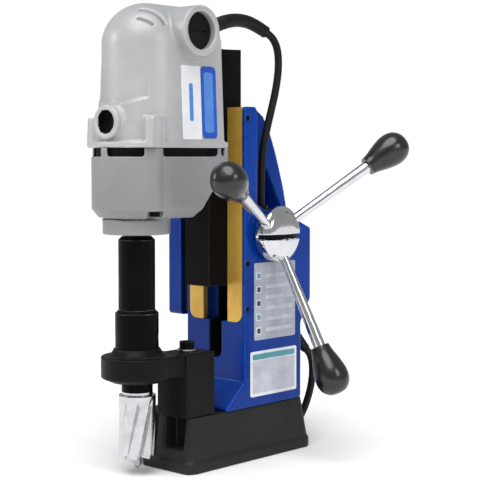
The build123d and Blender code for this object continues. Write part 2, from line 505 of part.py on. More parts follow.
def motor_housing():
    """Upper casting: domed shell, screw pillars, brush bosses and the front boss."""
    body = motor_shape(MOTOR_R, MOTOR_REAR_Y, JOINT_Z)
    flange_top = JOINT_Z + 5
    body += stadium(CASE_R - 0.8, CASE_CENTRE_Y, CASE_REAR_Y, JOINT_Z, flange_top)
    for side in (-1, 1):
        body += rod((side * 24, BRUSH_Y, BRUSH_Z), (side * BRUSH_RIM_X, BRUSH_Y, BRUSH_Z), 21.5)
    body += rod((0, -110, BOSS_Z), (0, -139, BOSS_Z), BOSS_R)
    body += taper((0, -114, BOSS_Z), (0, -134, BOSS_Z), 21, BOSS_R)
    for x, y in PILLARS:
        top_z = PILLAR_TOP_Z if y < CASE_CENTRE_Y else flange_top
        body += rod((x, y, JOINT_Z), (x, y, top_z), PILLAR_R)
    body += block(-SLIDE_NECK_HALF_W, SLIDE_NECK_HALF_W, MOTOR_REAR_Y - 1, SLIDE_FRONT_Y, 290, 355)
    body -= motor_shape(MOTOR_R - SHELL, MOTOR_REAR_Y - SHELL, JOINT_Z - 1)
    for x, y in PILLARS:
        top_z = flange_top + 8 if y < CASE_CENTRE_Y else flange_top
        body += rod((x, y, JOINT_Z), (x, y, top_z), PILLAR_R - 1.5)
        body -= rod((x, y, JOINT_Z - 1), (x, y, top_z - 1), 2.4)
    body += rod((0, ARMATURE_Y, 389), (0, ARMATURE_Y, 401), 13)
    body -= rod((0, ARMATURE_Y, 388), (0, ARMATURE_Y, 394.5), 10)
    body -= rod((0, -140, BOSS_Z), (0, -128.5, BOSS_Z), 9.5)
    for side in (-1, 1):
        body -= rod((side * 26, BRUSH_Y, BRUSH_Z), (side * (BRUSH_RIM_X + 1), BRUSH_Y, BRUSH_Z), BRUSH_CAP_R)
    body -= rod((GLAND[0], MOTOR_REAR_Y - 6, GLAND[1]), (GLAND[0], MOTOR_REAR_Y + 1, GLAND[1]), 5.0)
    save("motor_housing", body)

    # Dark baffle just inside the vent slots.
    baffle_r = CASE_R - SHELL - 0.2
    band = stadium(baffle_r, CASE_CENTRE_Y, CASE_REAR_Y - SHELL - 0.2, PLATE_Z, JOINT_Z)
    band -= stadium(baffle_r - 2.5, CASE_CENTRE_Y, CASE_REAR_Y - SHELL - 2.7, PLATE_Z - 1, JOINT_Z + 1)
    for x, y in PILLARS:
        band -= rod((x, y, PLATE_Z - 1), (x, y, JOINT_Z + 1), PILLAR_R - 0.9)
    save("vent_band", band)

    screws = []
    for x, y in PILLARS:
        low_z = CASE_BOTTOM_Z + 7 if y < -90 else 268
        screws.append(rod((x, y, low_z), (x, y, 292 if y < -90 else 284), 2.3))
        if y < -90:
            screws[-1] += rod((x, y, low_z - 5), (x, y, low_z), 4.4)
    save("case_screws", one(screws))

    caps, brushes = [], []
    for side in (-1, 1):
        cap = rod((side * 30, BRUSH_Y, BRUSH_Z), (side * 43.5, BRUSH_Y, BRUSH_Z), BRUSH_CAP_R)
        cap += taper((side * 43.5, BRUSH_Y, BRUSH_Z), (side * 45, BRUSH_Y, BRUSH_Z), BRUSH_CAP_R, 14.5)
        low, high = sorted((side * 43.4, side * 46))
        cap -= block(low, high, BRUSH_Y - 9, BRUSH_Y + 9, BRUSH_Z - 1.2, BRUSH_Z + 1.2)
        caps.append(cap)
        low, high = sorted((side * (COMMUTATOR_R + 0.6), side * 30))
        brushes.append(block(low, high, ARMATURE_Y - 4, ARMATURE_Y + 4, BRUSH_Z - 6, BRUSH_Z + 6))
    save("brush_caps", one(caps))
    save("carbon_brushes", one(brushes))


GLAND = (12.0, 388.0)                           # x and z of the motor's cable gland
COMMUTATOR_R = 12.0


# ---------------------------------------------------------------- motor inside
def motor_inside():
    """Stator, armature, fan and the gear train down to the spindle."""
    stator_low, stator_top = 302.0, 352.0
    stator = ring((0, ARMATURE_Y, stator_low), (0, ARMATURE_Y, stator_top), 33.5, 21.5)
    save("stator", stator)

    pinion_z, lay_gear_z = (250.0, 261.0), (251.0, 260.0)
    low_pinion_z, spindle_gear_z = (236.0, 249.0), (237.0, 248.0)
    lay_x, lay_y = layshaft_centre()
    high_angle = degrees(atan2(lay_y - ARMATURE_Y, lay_x))
    low_angle = degrees(atan2(lay_y - SPINDLE_Y, lay_x))

    armature = rod((0, ARMATURE_Y, 261), (0, ARMATURE_Y, 394), 4.5)
    armature += rod((0, ARMATURE_Y, 306), (0, ARMATURE_Y, 348), 20.8)
    pinion = gear_outline(GEAR_MODULE_HIGH, ARMATURE_TEETH, high_angle)
    armature += Pos(0, ARMATURE_Y, pinion_z[0]) * extrude(pinion, amount=pinion_z[1] - pinion_z[0])
    save("armature", armature)
    save("commutator", ring((0, ARMATURE_Y, 370), (0, ARMATURE_Y, 388), COMMUTATOR_R, 4.5))

    fan_z = (288.0, 297.0)
    fan = ring((0, ARMATURE_Y, fan_z[0]), (0, ARMATURE_Y, fan_z[0] + 2), 25, 4.5)
    fan += ring((0, ARMATURE_Y, fan_z[0]), (0, ARMATURE_Y, fan_z[1]), 8, 4.5)
    blades = 9
    for blade in range(blades):
        vane = block(7, 24, -0.9, 0.9, fan_z[0], fan_z[1])
        fan += Pos(0, ARMATURE_Y, 0) * Rot(0, 0, 360 / blades * blade) * vane
    save("cooling_fan", fan)

    bearings = [ring((0, ARMATURE_Y, ARMATURE_BEARING_Z[0]), (0, ARMATURE_Y, ARMATURE_BEARING_Z[1]),
                     ARMATURE_BEARING_R, 4.5 + RUN_CLEARANCE),
                ring((0, ARMATURE_Y, 389.5), (0, ARMATURE_Y, 394), 10, 4.5 + RUN_CLEARANCE)]
    save("armature_bearings", one(bearings))

    layshaft = rod((lay_x, lay_y, 227), (lay_x, lay_y, 268), 3.5)
    gap_phase = high_angle + 180 + 180 / LAYSHAFT_TEETH_HIGH
    lay_high = gear_outline(GEAR_MODULE_HIGH, LAYSHAFT_TEETH_HIGH, gap_phase)
    lay_low = gear_outline(GEAR_MODULE_LOW, LAYSHAFT_TEETH_LOW, low_angle + 180)
    for outline, (low_z, high_z) in ((lay_high, lay_gear_z), (lay_low, low_pinion_z)):
        layshaft += Pos(lay_x, lay_y, low_z) * extrude(outline, amount=high_z - low_z)
    save("layshaft", layshaft)
    bore_r = 3.5 + RUN_CLEARANCE
    lay_bearings = [ring((lay_x, lay_y, z), (lay_x, lay_y, z + LAY_BEARING_H), LAY_BEARING_R, bore_r)
                    for z in LAY_BEARING_Z]
    save("layshaft_bearings", one(lay_bearings))

    wheel = gear_outline(GEAR_MODULE_LOW, SPINDLE_TEETH, low_angle + 180 / SPINDLE_TEETH) - Circle(SPINDLE_R)
    wheel_h = spindle_gear_z[1] - spindle_gear_z[0]
    save("spindle_gear", Pos(0, SPINDLE_Y, spindle_gear_z[0]) * extrude(wheel, amount=wheel_h))
    low_bearing = ring((0, SPINDLE_Y, NOSE_BEARING_Z[0]), (0, SPINDLE_Y, NOSE_BEARING_Z[1]),
                       BEARING_R, SPINDLE_R + RUN_CLEARANCE)
    top_bearing = ring((0, SPINDLE_Y, TOP_BEARING_Z[0]), (0, SPINDLE_Y, TOP_BEARING_Z[1]),
                       TOP_BEARING_R, SPINDLE_R + RUN_CLEARANCE)
    save("spindle_bearings", one([low_bearing, top_bearing]))


# ---------------------------------------------------------------- spindle, arbor and cutter
ARBOR_R, COLLAR_R = 15.75, 18.7
ARBOR_TOP_Z, COLLAR_TOP_Z, COLLAR_LOW_Z = 205.0, 142.0, 97.0
SHANK_R, SHANK_TOP_Z = 9.5, 128.0
SPRING_LOW_Z, SPRING_TOP_Z = 97.0, 170.0


def axis_rod(z_low, z_high, radius):
    """Round bar on the spindle's axis."""
    return rod((0, SPINDLE_Y, z_low), (0, SPINDLE_Y, z_high), radius)


def spindle():
    """Spindle with the arbor in one piece, its set screws, cutter, pilot pin and ejector spring."""
    body = axis_rod(ARBOR_TOP_Z, TOP_BEARING_Z[1], SPINDLE_R)
    body += axis_rod(COLLAR_TOP_Z - 1, ARBOR_TOP_Z - 3, ARBOR_R)
    body += taper((0, SPINDLE_Y, ARBOR_TOP_Z - 3), (0, SPINDLE_Y, ARBOR_TOP_Z), ARBOR_R, ARBOR_R - 3)
    body += taper((0, SPINDLE_Y, COLLAR_TOP_Z - 3), (0, SPINDLE_Y, COLLAR_TOP_Z), COLLAR_R, COLLAR_R - 3)
    body += axis_rod(COLLAR_LOW_Z, COLLAR_TOP_Z - 3, COLLAR_R)
    body -= axis_rod(COLLAR_LOW_Z - 1, SHANK_TOP_Z, SHANK_R)
    body -= axis_rod(SHANK_TOP_Z - 1, SPRING_TOP_Z, 6.0)
    screw_z, screw_turn = 118.0, radians(43)
    screws = []
    for side in (-1, 1):
        def out(reach):
            """Point on the screw's axis."""
            return (side * reach * cos(screw_turn), SPINDLE_Y + side * reach * sin(screw_turn), screw_z)

        body -= rod(out(SHANK_R - 1), out(20), 4.0)
        screws.append(rod(out(SHANK_R), out(COLLAR_R - 0.6), 4.0) - hex_bar(out(COLLAR_R - 4), out(20), 4))
    save("spindle", body)
    save("arbor_screws", one(screws))

    flutes, gullet_r = 8, 3.2
    cutter = axis_rod(CUTTER_TIP_Z, CUTTER_TOP_Z - 6, CUTTER_R)
    cutter += axis_rod(CUTTER_TOP_Z - 6, COLLAR_LOW_Z, 13.4)
    cutter += axis_rod(COLLAR_LOW_Z, SHANK_TOP_Z, SHANK_R - 0.02)
    cutter -= axis_rod(CUTTER_TIP_Z - 1, CUTTER_TOP_Z - 8, CUTTER_BORE_R)
    cutter -= axis_rod(CUTTER_TIP_Z - 1, SHANK_TOP_Z + 1, PIN_R + 0.1)
    for flute in range(flutes):
        angle = radians(360 / flutes * flute)
        x, y = (CUTTER_R + 1.6) * cos(angle), SPINDLE_Y + (CUTTER_R + 1.6) * sin(angle)
        cutter -= rod((x, y, CUTTER_TIP_Z - 1), (x, y, CUTTER_TOP_Z - 10), gullet_r)
    save("annular_cutter", cutter)

    pin_top = SPRING_LOW_Z + 33
    pin = axis_rod(PIN_TIP_Z + 3, pin_top - 2, PIN_R)
    pin += taper((0, SPINDLE_Y, PIN_TIP_Z + 3), (0, SPINDLE_Y, PIN_TIP_Z), PIN_R, 0.6)
    pin += axis_rod(pin_top - 2, pin_top, 5.2)
    save("pilot_pin", pin)
    spring_low, spring_high = pin_top, SPRING_TOP_Z
    save("ejector_spring", ring((0, SPINDLE_Y, spring_low), (0, SPINDLE_Y, spring_high), 5.0, 3.6))


# ---------------------------------------------------------------- feed hub
SPOKE_ROOT_R, SPOKE_END_R = 4.0, 5.6            # the spokes widen towards the knobs
SPOKE_ROOT_X, SPOKE_ROOT = 49.0, 14.0
KNOB_PROFILE = [(8.5, 0), (10, 7), (12.6, 15), (14.7, 23), (15.3, 29), (14.8, 34), (12.6, 39), (8, 43)]
KNOB_L = 45.0


def feed_hub():
    """Pinion shaft in two bushes, the hub, its three spokes and their knobs."""
    shaft = rod((-26, FEED_Y, FEED_Z), (50, FEED_Y, FEED_Z), 7.0)
    wheel = gear_outline(RACK_MODULE, FEED_TEETH, 180)
    pinion_half = 5.5
    shaft += extrude(Plane.YZ.offset(-pinion_half) * Pos(FEED_Y, FEED_Z) * wheel, amount=2 * pinion_half)
    save("pinion_shaft", shaft)
    bushes = [ring((x0, FEED_Y, FEED_Z), (x1, FEED_Y, FEED_Z), FEED_BORE_R, 7.0 + RUN_CLEARANCE)
              for x0, x1 in ((-27, -9), (9, HOUSING_HALF_W))]
    save("pinion_bushes", one(bushes))

    hub = rod((HOUSING_HALF_W + 0.6, FEED_Y, FEED_Z), (41, FEED_Y, FEED_Z), 19)
    hub += rod((41, FEED_Y, FEED_Z), (52, FEED_Y, FEED_Z), HUB_R)
    hub += taper((52, FEED_Y, FEED_Z), (58, FEED_Y, FEED_Z), HUB_R, 16)
    hub -= rod((HOUSING_HALF_W, FEED_Y, FEED_Z), (50, FEED_Y, FEED_Z), 7.0)

    spokes, knobs = [], []
    for spoke in range(3):
        angle = radians(FIRST_SPOKE_DEG + 120 * spoke)
        along_y, along_z = cos(angle), sin(angle)

        def place(x, reach):
            return (x, FEED_Y + reach * along_y, FEED_Z + reach * along_z)

        slope = (KNOB_X - SPOKE_ROOT_X) / (KNOB_REACH - SPOKE_ROOT)
        half = KNOB_L / 2 / hypot(1, slope)
        root = place(SPOKE_ROOT_X, SPOKE_ROOT)
        knob_low = place(KNOB_X - half * slope, KNOB_REACH - half)
        knob_high = place(KNOB_X + half * slope, KNOB_REACH + half)
        spoke_bar = taper(root, knob_low, SPOKE_ROOT_R, SPOKE_END_R)
        hub -= spoke_bar
        spokes.append(spoke_bar)
        knobs.append(knob(knob_low, knob_high))
    save("feed_hub", hub)
    save("spokes", one(spokes))
    save("knobs", one(knobs))


def knob(low, high):
    """Oval hand knob between two points, turned about the line that joins them."""
    outline = make_face(Polyline((0, 0), *KNOB_PROFILE, (0, KNOB_L), close=True))
    solid = revolve(Plane.XZ * outline, Axis.Z)
    return Plane(origin=low, z_dir=Vector(*high) - Vector(*low)).location * solid


# ---------------------------------------------------------------- cords
def cord(points):
    """Tube of straight runs and tangent arcs through a route; returns the solid and prints its radii."""
    path = [Vector(*point) for point in points]
    radii = []
    for before, corner, after in zip(path, path[1:], path[2:]):
        first, second = corner - before, after - corner
        half_turn = radians(first.get_angle(second)) / 2
        radii.append(0.45 * min(first.length, second.length) / tan(half_turn))
    line = FilletPolyline(*[tuple(point) for point in path], radius=radii)
    start = Plane(origin=path[0], z_dir=path[1] - path[0])
    tube = sweep(start * Circle(CORD_R), path=line)
    expected = pi * CORD_R ** 2 * line.length
    print("cord length %.0f, volume ratio %.4f" % (line.length, tube.volume / expected))
    print("  radii", [round(radius) for radius in radii])
    return tube


BOOT_END = (18.0, 40.0, 387.5)
ENTRY_XY, ENTRY_SEAT_Z, ENTRY_Z = (21.1, 30.4), 219.8, 228.0
MOTOR_CABLE = [BOOT_END, (18.6, 45.9, 384.85), (19.4, 51, 379.8), (20.1, 54.3, 372.4), (20.5, 55.4, 362),
               (20.8, 54.3, 349), (21, 50.6, 333.5), (21, 45.2, 317), (21, 39.2, 300), (21, 33.8, 282.5),
               (21, 31.2, 264), (*ENTRY_XY, 246), (*ENTRY_XY, ENTRY_Z)]
BOOT_ROUTE = [(GLAND[0], MOTOR_REAR_Y + 6, GLAND[1]), (GLAND[0], MOTOR_REAR_Y + 13, GLAND[1]),
              (GLAND[0] + 0.6, -16.5, 391), (14, -5, 394.9), (15, 9, 396.6), (16.5, 25, 394.3), BOOT_END]

POWER_GLAND_R = 8.5
CORD_EXIT = (22.0, 93.0, 89.0)
POWER_CORD = [CORD_EXIT, (22, 98.8, 84.17), (22, 102.4, 77), (22, 103.6, 67), (21.8, 102.5, 55.5),
              (21, 99.6, 44), (18.5, 96.6, 32), (14, 94.2, 21), (7, 92.6, 12), (-2.5, 91, 6.4),
              (-14, 89.6, 4.2), (-28, 88.4, 4), (-43, 87.8, 4), (-58, 87.6, 4), (-74, 87.5, 4)]
COIL_CENTRE, COIL_MID_R = (-95.0, 133.0), 38.5
COIL_WIDE, COIL_HIGH = 3, 3
PLUG_X, PLUG_Y, PLUG_Z = -129.0, 134.0, 33.5    # rear end of the plug's body, where its neck begins


def power_gland_ends():
    """Axis of the power gland: it leans down and rearward, in line with the lead's first run."""
    exit_point, wall = Vector(*CORD_EXIT), Vector(CORD_EXIT[0], REAR_LOWER_Y, 109.0)
    direction = (exit_point - wall).normalized()
    return tuple(wall - direction * 6), tuple(wall + direction * 7)


def cords():
    """Motor cable with its boot, mains lead with its strain relief, put-away coil and plug."""
    gland = hex_bar((GLAND[0], MOTOR_REAR_Y, GLAND[1]), (GLAND[0], MOTOR_REAR_Y + 6, GLAND[1]), 17)
    gland += rod((GLAND[0], MOTOR_REAR_Y - 5, GLAND[1]), (GLAND[0], MOTOR_REAR_Y, GLAND[1]), 4.8)
    save("motor_gland", gland)
    boot = None
    steps = len(BOOT_ROUTE) - 1
    for step, (start, end) in enumerate(zip(BOOT_ROUTE, BOOT_ROUTE[1:])):
        wide = 6.4 - 1.2 * step / steps
        piece = taper(start, end, wide, wide - 1.2 / steps)
        if step:
            piece += Pos(*start) * Sphere(wide)
        boot = piece if boot is None else boot + piece
    save("motor_boot", boot)
    save("motor_cable", cord(MOTOR_CABLE))
    save("cable_entry", rod((*ENTRY_XY, ENTRY_SEAT_Z), (*ENTRY_XY, ENTRY_Z), 6.5))

    inner, outer = power_gland_ends()
    save("power_gland", rod(inner, outer, POWER_GLAND_R))
    save("power_boot", taper(outer, CORD_EXIT, 7.0, 4.4))
    save("power_cord", cord(POWER_CORD))

    half_wide = COIL_WIDE * CORD_R
    coil_top_z = COIL_HIGH * 2 * CORD_R
    low, high = (*COIL_CENTRE, 0.4), (*COIL_CENTRE, coil_top_z)
    coil = ring(low, high, COIL_MID_R + half_wide, COIL_MID_R - half_wide)
    save("power_cord_coil", coil)

    # The plug lies on the coil.
    front_y = PLUG_Y + 32
    body = extrude(Plane.XZ.offset(-front_y) * Pos(PLUG_X, PLUG_Z) * RectangleRounded(26, 24, 8), amount=32)
    body += taper((PLUG_X, PLUG_Y, PLUG_Z), (PLUG_X, PLUG_Y - 17, PLUG_Z), 9, 4.8)
    save("mains_plug", body)
    pins = []
    for x in (PLUG_X - 6.3, PLUG_X + 6.3):
        pins.append(block(x - 0.8, x + 0.8, front_y, front_y + 17, PLUG_Z - 1, PLUG_Z + 5))
    pins.append(rod((PLUG_X, front_y, PLUG_Z - 6), (PLUG_X, front_y + 19, PLUG_Z - 6), 2.4))
    save("plug_pins", one(pins))


magnet()
housing()
gibs()
support()
switch_box()
labels()
slide()
gear_case()
motor_housing()
motor_inside()
spindle()
feed_hub()
cords()
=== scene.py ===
"""Looks of the magnetic drill press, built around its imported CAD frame. Lengths are in metres.

The magnet stands on z = 0, the spindle is at the front (-Y) and the feed hub is on the +X side.
"""
import json
import math

import bmesh
import bpy
import numpy as np
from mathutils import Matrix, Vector


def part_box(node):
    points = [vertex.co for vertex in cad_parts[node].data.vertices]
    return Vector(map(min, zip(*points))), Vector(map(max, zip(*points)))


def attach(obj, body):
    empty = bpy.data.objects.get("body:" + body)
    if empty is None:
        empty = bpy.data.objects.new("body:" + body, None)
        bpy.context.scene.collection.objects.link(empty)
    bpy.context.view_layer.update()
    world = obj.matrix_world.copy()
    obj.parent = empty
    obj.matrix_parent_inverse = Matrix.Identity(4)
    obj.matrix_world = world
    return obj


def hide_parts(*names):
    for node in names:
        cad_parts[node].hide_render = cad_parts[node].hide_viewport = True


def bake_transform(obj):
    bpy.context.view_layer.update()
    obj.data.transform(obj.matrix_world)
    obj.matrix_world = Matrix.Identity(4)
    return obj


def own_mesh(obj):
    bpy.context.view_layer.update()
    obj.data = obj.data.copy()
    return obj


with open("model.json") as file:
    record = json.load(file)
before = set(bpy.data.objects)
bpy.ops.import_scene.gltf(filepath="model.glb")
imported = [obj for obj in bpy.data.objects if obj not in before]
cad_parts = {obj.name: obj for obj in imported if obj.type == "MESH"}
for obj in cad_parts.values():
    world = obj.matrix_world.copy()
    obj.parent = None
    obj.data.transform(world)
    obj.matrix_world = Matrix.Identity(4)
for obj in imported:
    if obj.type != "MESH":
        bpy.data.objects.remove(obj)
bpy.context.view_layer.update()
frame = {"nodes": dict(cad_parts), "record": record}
nodes = frame["nodes"]
body_members = frame["record"]["behaviour"]["bodies"]
bodies_of = {node: body for body, members in body_members.items() for node in members}


# ---------------------------------------------------------------- materials
class Shader:
    """A Principled material under construction; add() makes a node and wires its inputs."""

    def __init__(self, name):
        self.material = bpy.data.materials.new(name)
        self.material.use_nodes = True
        self.tree = self.material.node_tree
        self.tree.nodes.clear()

    def add(self, kind, inputs=(), **settings):
        node = self.tree.nodes.new("ShaderNode" + kind)
        for key, value in settings.items():
            setattr(node, key, value)
        for key, value in dict(inputs).items():
            if isinstance(value, bpy.types.NodeSocket):
                self.tree.links.new(value, node.inputs[key])
            else:
                node.inputs[key].default_value = value
        return node

    def spread(self, value, low, high, to_low, to_high):
        """value, between low and high, mapped to to_low..to_high."""
        inputs = {0: value, 1: low, 2: high, 3: to_low, 4: to_high}
        return self.add("MapRange", inputs).outputs[0]

    def times(self, first, second):
        return self.add("Math", {0: first, 1: second}, operation="MULTIPLY").outputs[0]

    def mix(self, factor, first, second):
        inputs = {0: factor, 6: first, 7: second}
        return self.add("Mix", inputs, data_type="RGBA").outputs[2]


def rgb(red, green, blue):
    """Linear colour from 0-255 display values."""
    def linear(value):
        value /= 255
        return value / 12.92 if value <= 0.04045 else ((value + 0.055) / 1.055) ** 2.4
    return (linear(red), linear(green), linear(blue), 1.0)


def finish(name, colour, second, roughness, metallic=0.0, tone_scale=30.0, grain_scale=900.0,
           grain_depth=0.00004, stretch=(1, 1, 1), edge=None, edge_gain=0.5, edge_by="corner",
           hollow_gain=0.35, rough_spread=0.08, coat=0.0, specular=0.5):
    """Procedural finish: two tones, fine grain, worn edges with a painted edge highlight, painted shade in
    hollows and uneven gloss.
    """
    shader = Shader(name)
    place = shader.add("TexCoord").outputs["Object"]
    stretched = shader.add("Mapping", {"Vector": place, "Scale": stretch}).outputs[0]
    tone = shader.add("TexNoise", {"Vector": place, "Scale": tone_scale, "Detail": 5.0, "Roughness": 0.6})
    grain = shader.add("TexNoise", {"Vector": stretched, "Scale": grain_scale, "Detail": 3.0})
    patch = shader.add("TexNoise", {"Vector": place, "Scale": 140.0, "Detail": 4.0})
    base = shader.mix(shader.spread(tone.outputs[0], 0.35, 0.65, 0.0, 1.0), colour, second)

    # Worn edges with a painted edge highlight: edges, found by pointiness or by the bevel normal, take the
    # lighter edge colour in patches.
    if edge is not None:
        patchy = shader.spread(patch.outputs[0], 0.42, 0.62, 0.25, 1.0)
        if edge_by == "corner":
            point = shader.add("NewGeometry").outputs["Pointiness"]
            edge_wear_and_highlight = shader.spread(point, 0.52, 0.60, 0.0, edge_gain)
        else:
            geometry = shader.add("NewGeometry")
            rounded = shader.add("Bevel", {"Radius": 0.0012}, samples=4)
            lean = shader.add("VectorMath", {0: rounded.outputs[0], 1: geometry.outputs["Normal"]},
                              operation="DOT_PRODUCT")
            edge_wear_and_highlight = shader.spread(lean.outputs["Value"], 0.99, 0.86, 0.0, edge_gain)
        base = shader.mix(shader.times(edge_wear_and_highlight, patchy), base, edge)
    # Painted shade: hollows, found by pointiness, darken towards a quarter of the colour.
    if hollow_gain and edge_by == "corner":
        point = shader.add("NewGeometry").outputs["Pointiness"]
        hollow_shade = shader.spread(point, 0.48, 0.42, 0.0, hollow_gain)
        base = shader.mix(hollow_shade, base, tuple(0.25 * part for part in colour[:3]) + (1.0,))

    rough = shader.spread(patch.outputs[0], 0.3, 0.7, max(roughness - rough_spread, 0.02),
                          roughness + rough_spread)
    bump = shader.add("Bump", {"Height": grain.outputs[0], "Strength": 1.0, "Distance": grain_depth})
    inputs = {"Base Color": base, "Roughness": rough, "Metallic": metallic, "Normal": bump.outputs[0],
              "Coat Weight": coat, "Coat Roughness": 0.12, "Specular IOR Level": specular}
    principled = shader.add("BsdfPrincipled", inputs)
    shader.add("OutputMaterial", {"Surface": principled.outputs[0]})
    return shader.material


casting_grey = finish("casting_grey", rgb(180, 181, 182), rgb(168, 169, 171), 0.38, metallic=0.1,
                      tone_scale=18, grain_scale=900, grain_depth=0.00003, edge=rgb(232, 233, 234),
                      edge_gain=0.6, hollow_gain=0.35, rough_spread=0.06)
# Darker copy of casting_grey: painted shade for the gear case under the motor and for the dome's grooves.
casting_grey_shaded = finish("casting_grey_shaded", rgb(143, 144, 146), rgb(132, 133, 135), 0.42, metallic=0.1,
                   tone_scale=18, grain_scale=900, grain_depth=0.00003, edge=rgb(205, 206, 208),
                   edge_gain=0.6, hollow_gain=0.35, rough_spread=0.06)
housing_blue = finish("housing_blue", rgb(1, 58, 150), rgb(1, 45, 130), 0.30, tone_scale=16,
                      grain_scale=420, grain_depth=0.00004, edge=rgb(40, 122, 222), edge_gain=0.6,
                      hollow_gain=0.3, coat=0.05, rough_spread=0.05, specular=0.14)
box_blue = finish("box_blue", rgb(1, 60, 152), rgb(1, 46, 132), 0.30, tone_scale=16, grain_scale=420,
                  grain_depth=0.00004, edge=rgb(40, 122, 222), edge_gain=0.6, edge_by="bevel",
                  coat=0.05, rough_spread=0.05, specular=0.14)
magnet_charcoal = finish("magnet_charcoal", rgb(35, 35, 37), rgb(27, 27, 29), 0.50, tone_scale=22,
                         grain_scale=1100, grain_depth=0.00009, edge=rgb(84, 84, 88), edge_gain=0.45,
                         hollow_gain=0.5, specular=0.25)
black_satin = finish("black_satin", rgb(15, 14, 14), rgb(10, 9, 9), 0.45, tone_scale=26,
                     grain_scale=1300, grain_depth=0.00008, edge=rgb(66, 66, 68), edge_gain=0.5,
                     hollow_gain=0.5, specular=0.14)
black_oxide = finish("black_oxide", rgb(9, 9, 10), rgb(5, 5, 6), 0.42, metallic=0.0, tone_scale=40,
                     grain_scale=700, stretch=(1, 1, 14), grain_depth=0.00003, edge=rgb(82, 83, 86),
                     edge_gain=0.6, edge_by="bevel", specular=0.07)
arbor_black = finish("arbor_black", rgb(6, 6, 6), rgb(3, 3, 3), 0.40, metallic=0.0, tone_scale=45,
                     grain_scale=600, stretch=(1, 1, 18), grain_depth=0.00003, edge=rgb(165, 166, 170),
                     edge_gain=0.7, edge_by="bevel", specular=0.07)
steel = finish("steel", rgb(178, 180, 184), rgb(152, 154, 158), 0.28, metallic=1.0, tone_scale=60,
               grain_scale=900, stretch=(1, 1, 6), grain_depth=0.00003, edge=rgb(225, 226, 230),
               edge_gain=0.5, edge_by="bevel")
# hollow_gain 0.75: strong painted shade in the cutter's flutes.
cutter_steel = finish("cutter_steel", rgb(212, 213, 215), rgb(190, 192, 195), 0.22, metallic=1.0,
                      tone_scale=90, grain_scale=1500, stretch=(1, 1, 5), grain_depth=0.00003,
                      edge=rgb(245, 245, 248), edge_gain=0.6, hollow_gain=0.75)
chrome = finish("chrome", rgb(222, 223, 226), rgb(206, 208, 212), 0.09, metallic=1.0, tone_scale=35,
                grain_scale=300, grain_depth=0.000008, hollow_gain=0.0, rough_spread=0.03)
brass = finish("brass", rgb(232, 186, 84), rgb(212, 164, 66), 0.36, metallic=0.25, tone_scale=35,
               grain_scale=1100, stretch=(1, 1, 0.06), grain_depth=0.00004, edge=rgb(226, 188, 104),
               edge_gain=0.5, edge_by="bevel", rough_spread=0.1)
bronze = finish("bronze", rgb(158, 112, 58), rgb(132, 90, 44), 0.38, metallic=0.9, tone_scale=60,
                grain_scale=900, stretch=(12, 1, 1), edge=rgb(200, 158, 96), edge_by="bevel")
copper = finish("copper", rgb(178, 96, 58), rgb(150, 74, 42), 0.36, metallic=0.9, tone_scale=90,
                grain_scale=1600, stretch=(1, 1, 8), edge=rgb(214, 140, 100), edge_by="bevel")
lamination = finish("lamination", rgb(92, 94, 100), rgb(74, 76, 82), 0.42, metallic=0.8, tone_scale=50,
                    grain_scale=1800, stretch=(0.1, 0.1, 1), grain_depth=0.00012,
                    edge=rgb(140, 142, 146), edge_by="bevel")
rubber = finish("rubber", rgb(15, 15, 16), rgb(10, 10, 11), 0.50, tone_scale=60, grain_scale=2200,
                grain_depth=0.00004, edge=rgb(44, 44, 46), edge_gain=0.4, hollow_gain=0.4,
                specular=0.22)
black_plastic = finish("black_plastic", rgb(15, 15, 16), rgb(10, 10, 11), 0.42, tone_scale=50,
                       grain_scale=2600, grain_depth=0.00004, edge=rgb(52, 52, 54), edge_gain=0.4,
                       edge_by="bevel", specular=0.15)
knob_black = finish("knob_black", rgb(24, 24, 24), rgb(16, 16, 17), 0.27, tone_scale=45, grain_scale=1400,
                    grain_depth=0.00003, edge=rgb(60, 60, 60), edge_gain=0.2, hollow_gain=0.3, coat=0.25,
                    rough_spread=0.06)
resin = finish("resin", rgb(60, 52, 44), rgb(48, 42, 36), 0.35, tone_scale=50, grain_scale=700,
               edge=rgb(90, 80, 70), edge_by="bevel")
carbon = finish("carbon", rgb(38, 38, 40), rgb(28, 28, 30), 0.62, tone_scale=90, grain_scale=2000,
                edge=rgb(70, 70, 72), edge_by="bevel")
green_plastic = finish("green_plastic", rgb(30, 128, 62), rgb(22, 110, 52), 0.32, tone_scale=70,
                       grain_scale=2400, edge=rgb(90, 170, 110), edge_by="bevel", coat=0.2)
red_plastic = finish("red_plastic", rgb(186, 28, 26), rgb(162, 20, 20), 0.32, tone_scale=70,
                     grain_scale=2400, edge=rgb(220, 90, 84), edge_by="bevel", coat=0.2)
lamp_lens = finish("lamp_lens", rgb(214, 92, 24), rgb(190, 66, 16), 0.12, tone_scale=120,
                   grain_scale=900, edge=rgb(250, 170, 90), edge_by="bevel", coat=0.6)
label_white = finish("label_white", rgb(232, 233, 236), rgb(220, 222, 226), 0.34, tone_scale=60,
                     grain_scale=2600, grain_depth=0.00001, hollow_gain=0.0, coat=0.3)
label_grey = finish("label_grey", rgb(176, 180, 192), rgb(150, 154, 168), 0.34, metallic=0.1,
                    tone_scale=55, stretch=(1, 1, 4), grain_scale=2000, grain_depth=0.00001,
                    hollow_gain=0.0, coat=0.3)
label_silver = finish("label_silver", rgb(196, 198, 208), rgb(172, 176, 190), 0.30, metallic=0.15,
                      tone_scale=65, grain_scale=2000, grain_depth=0.00001, hollow_gain=0.0, coat=0.3)
label_blue = finish("label_blue", rgb(20, 84, 196), rgb(14, 70, 180), 0.30, tone_scale=50,
                    grain_scale=2600, grain_depth=0.00001, hollow_gain=0.0, coat=0.4)
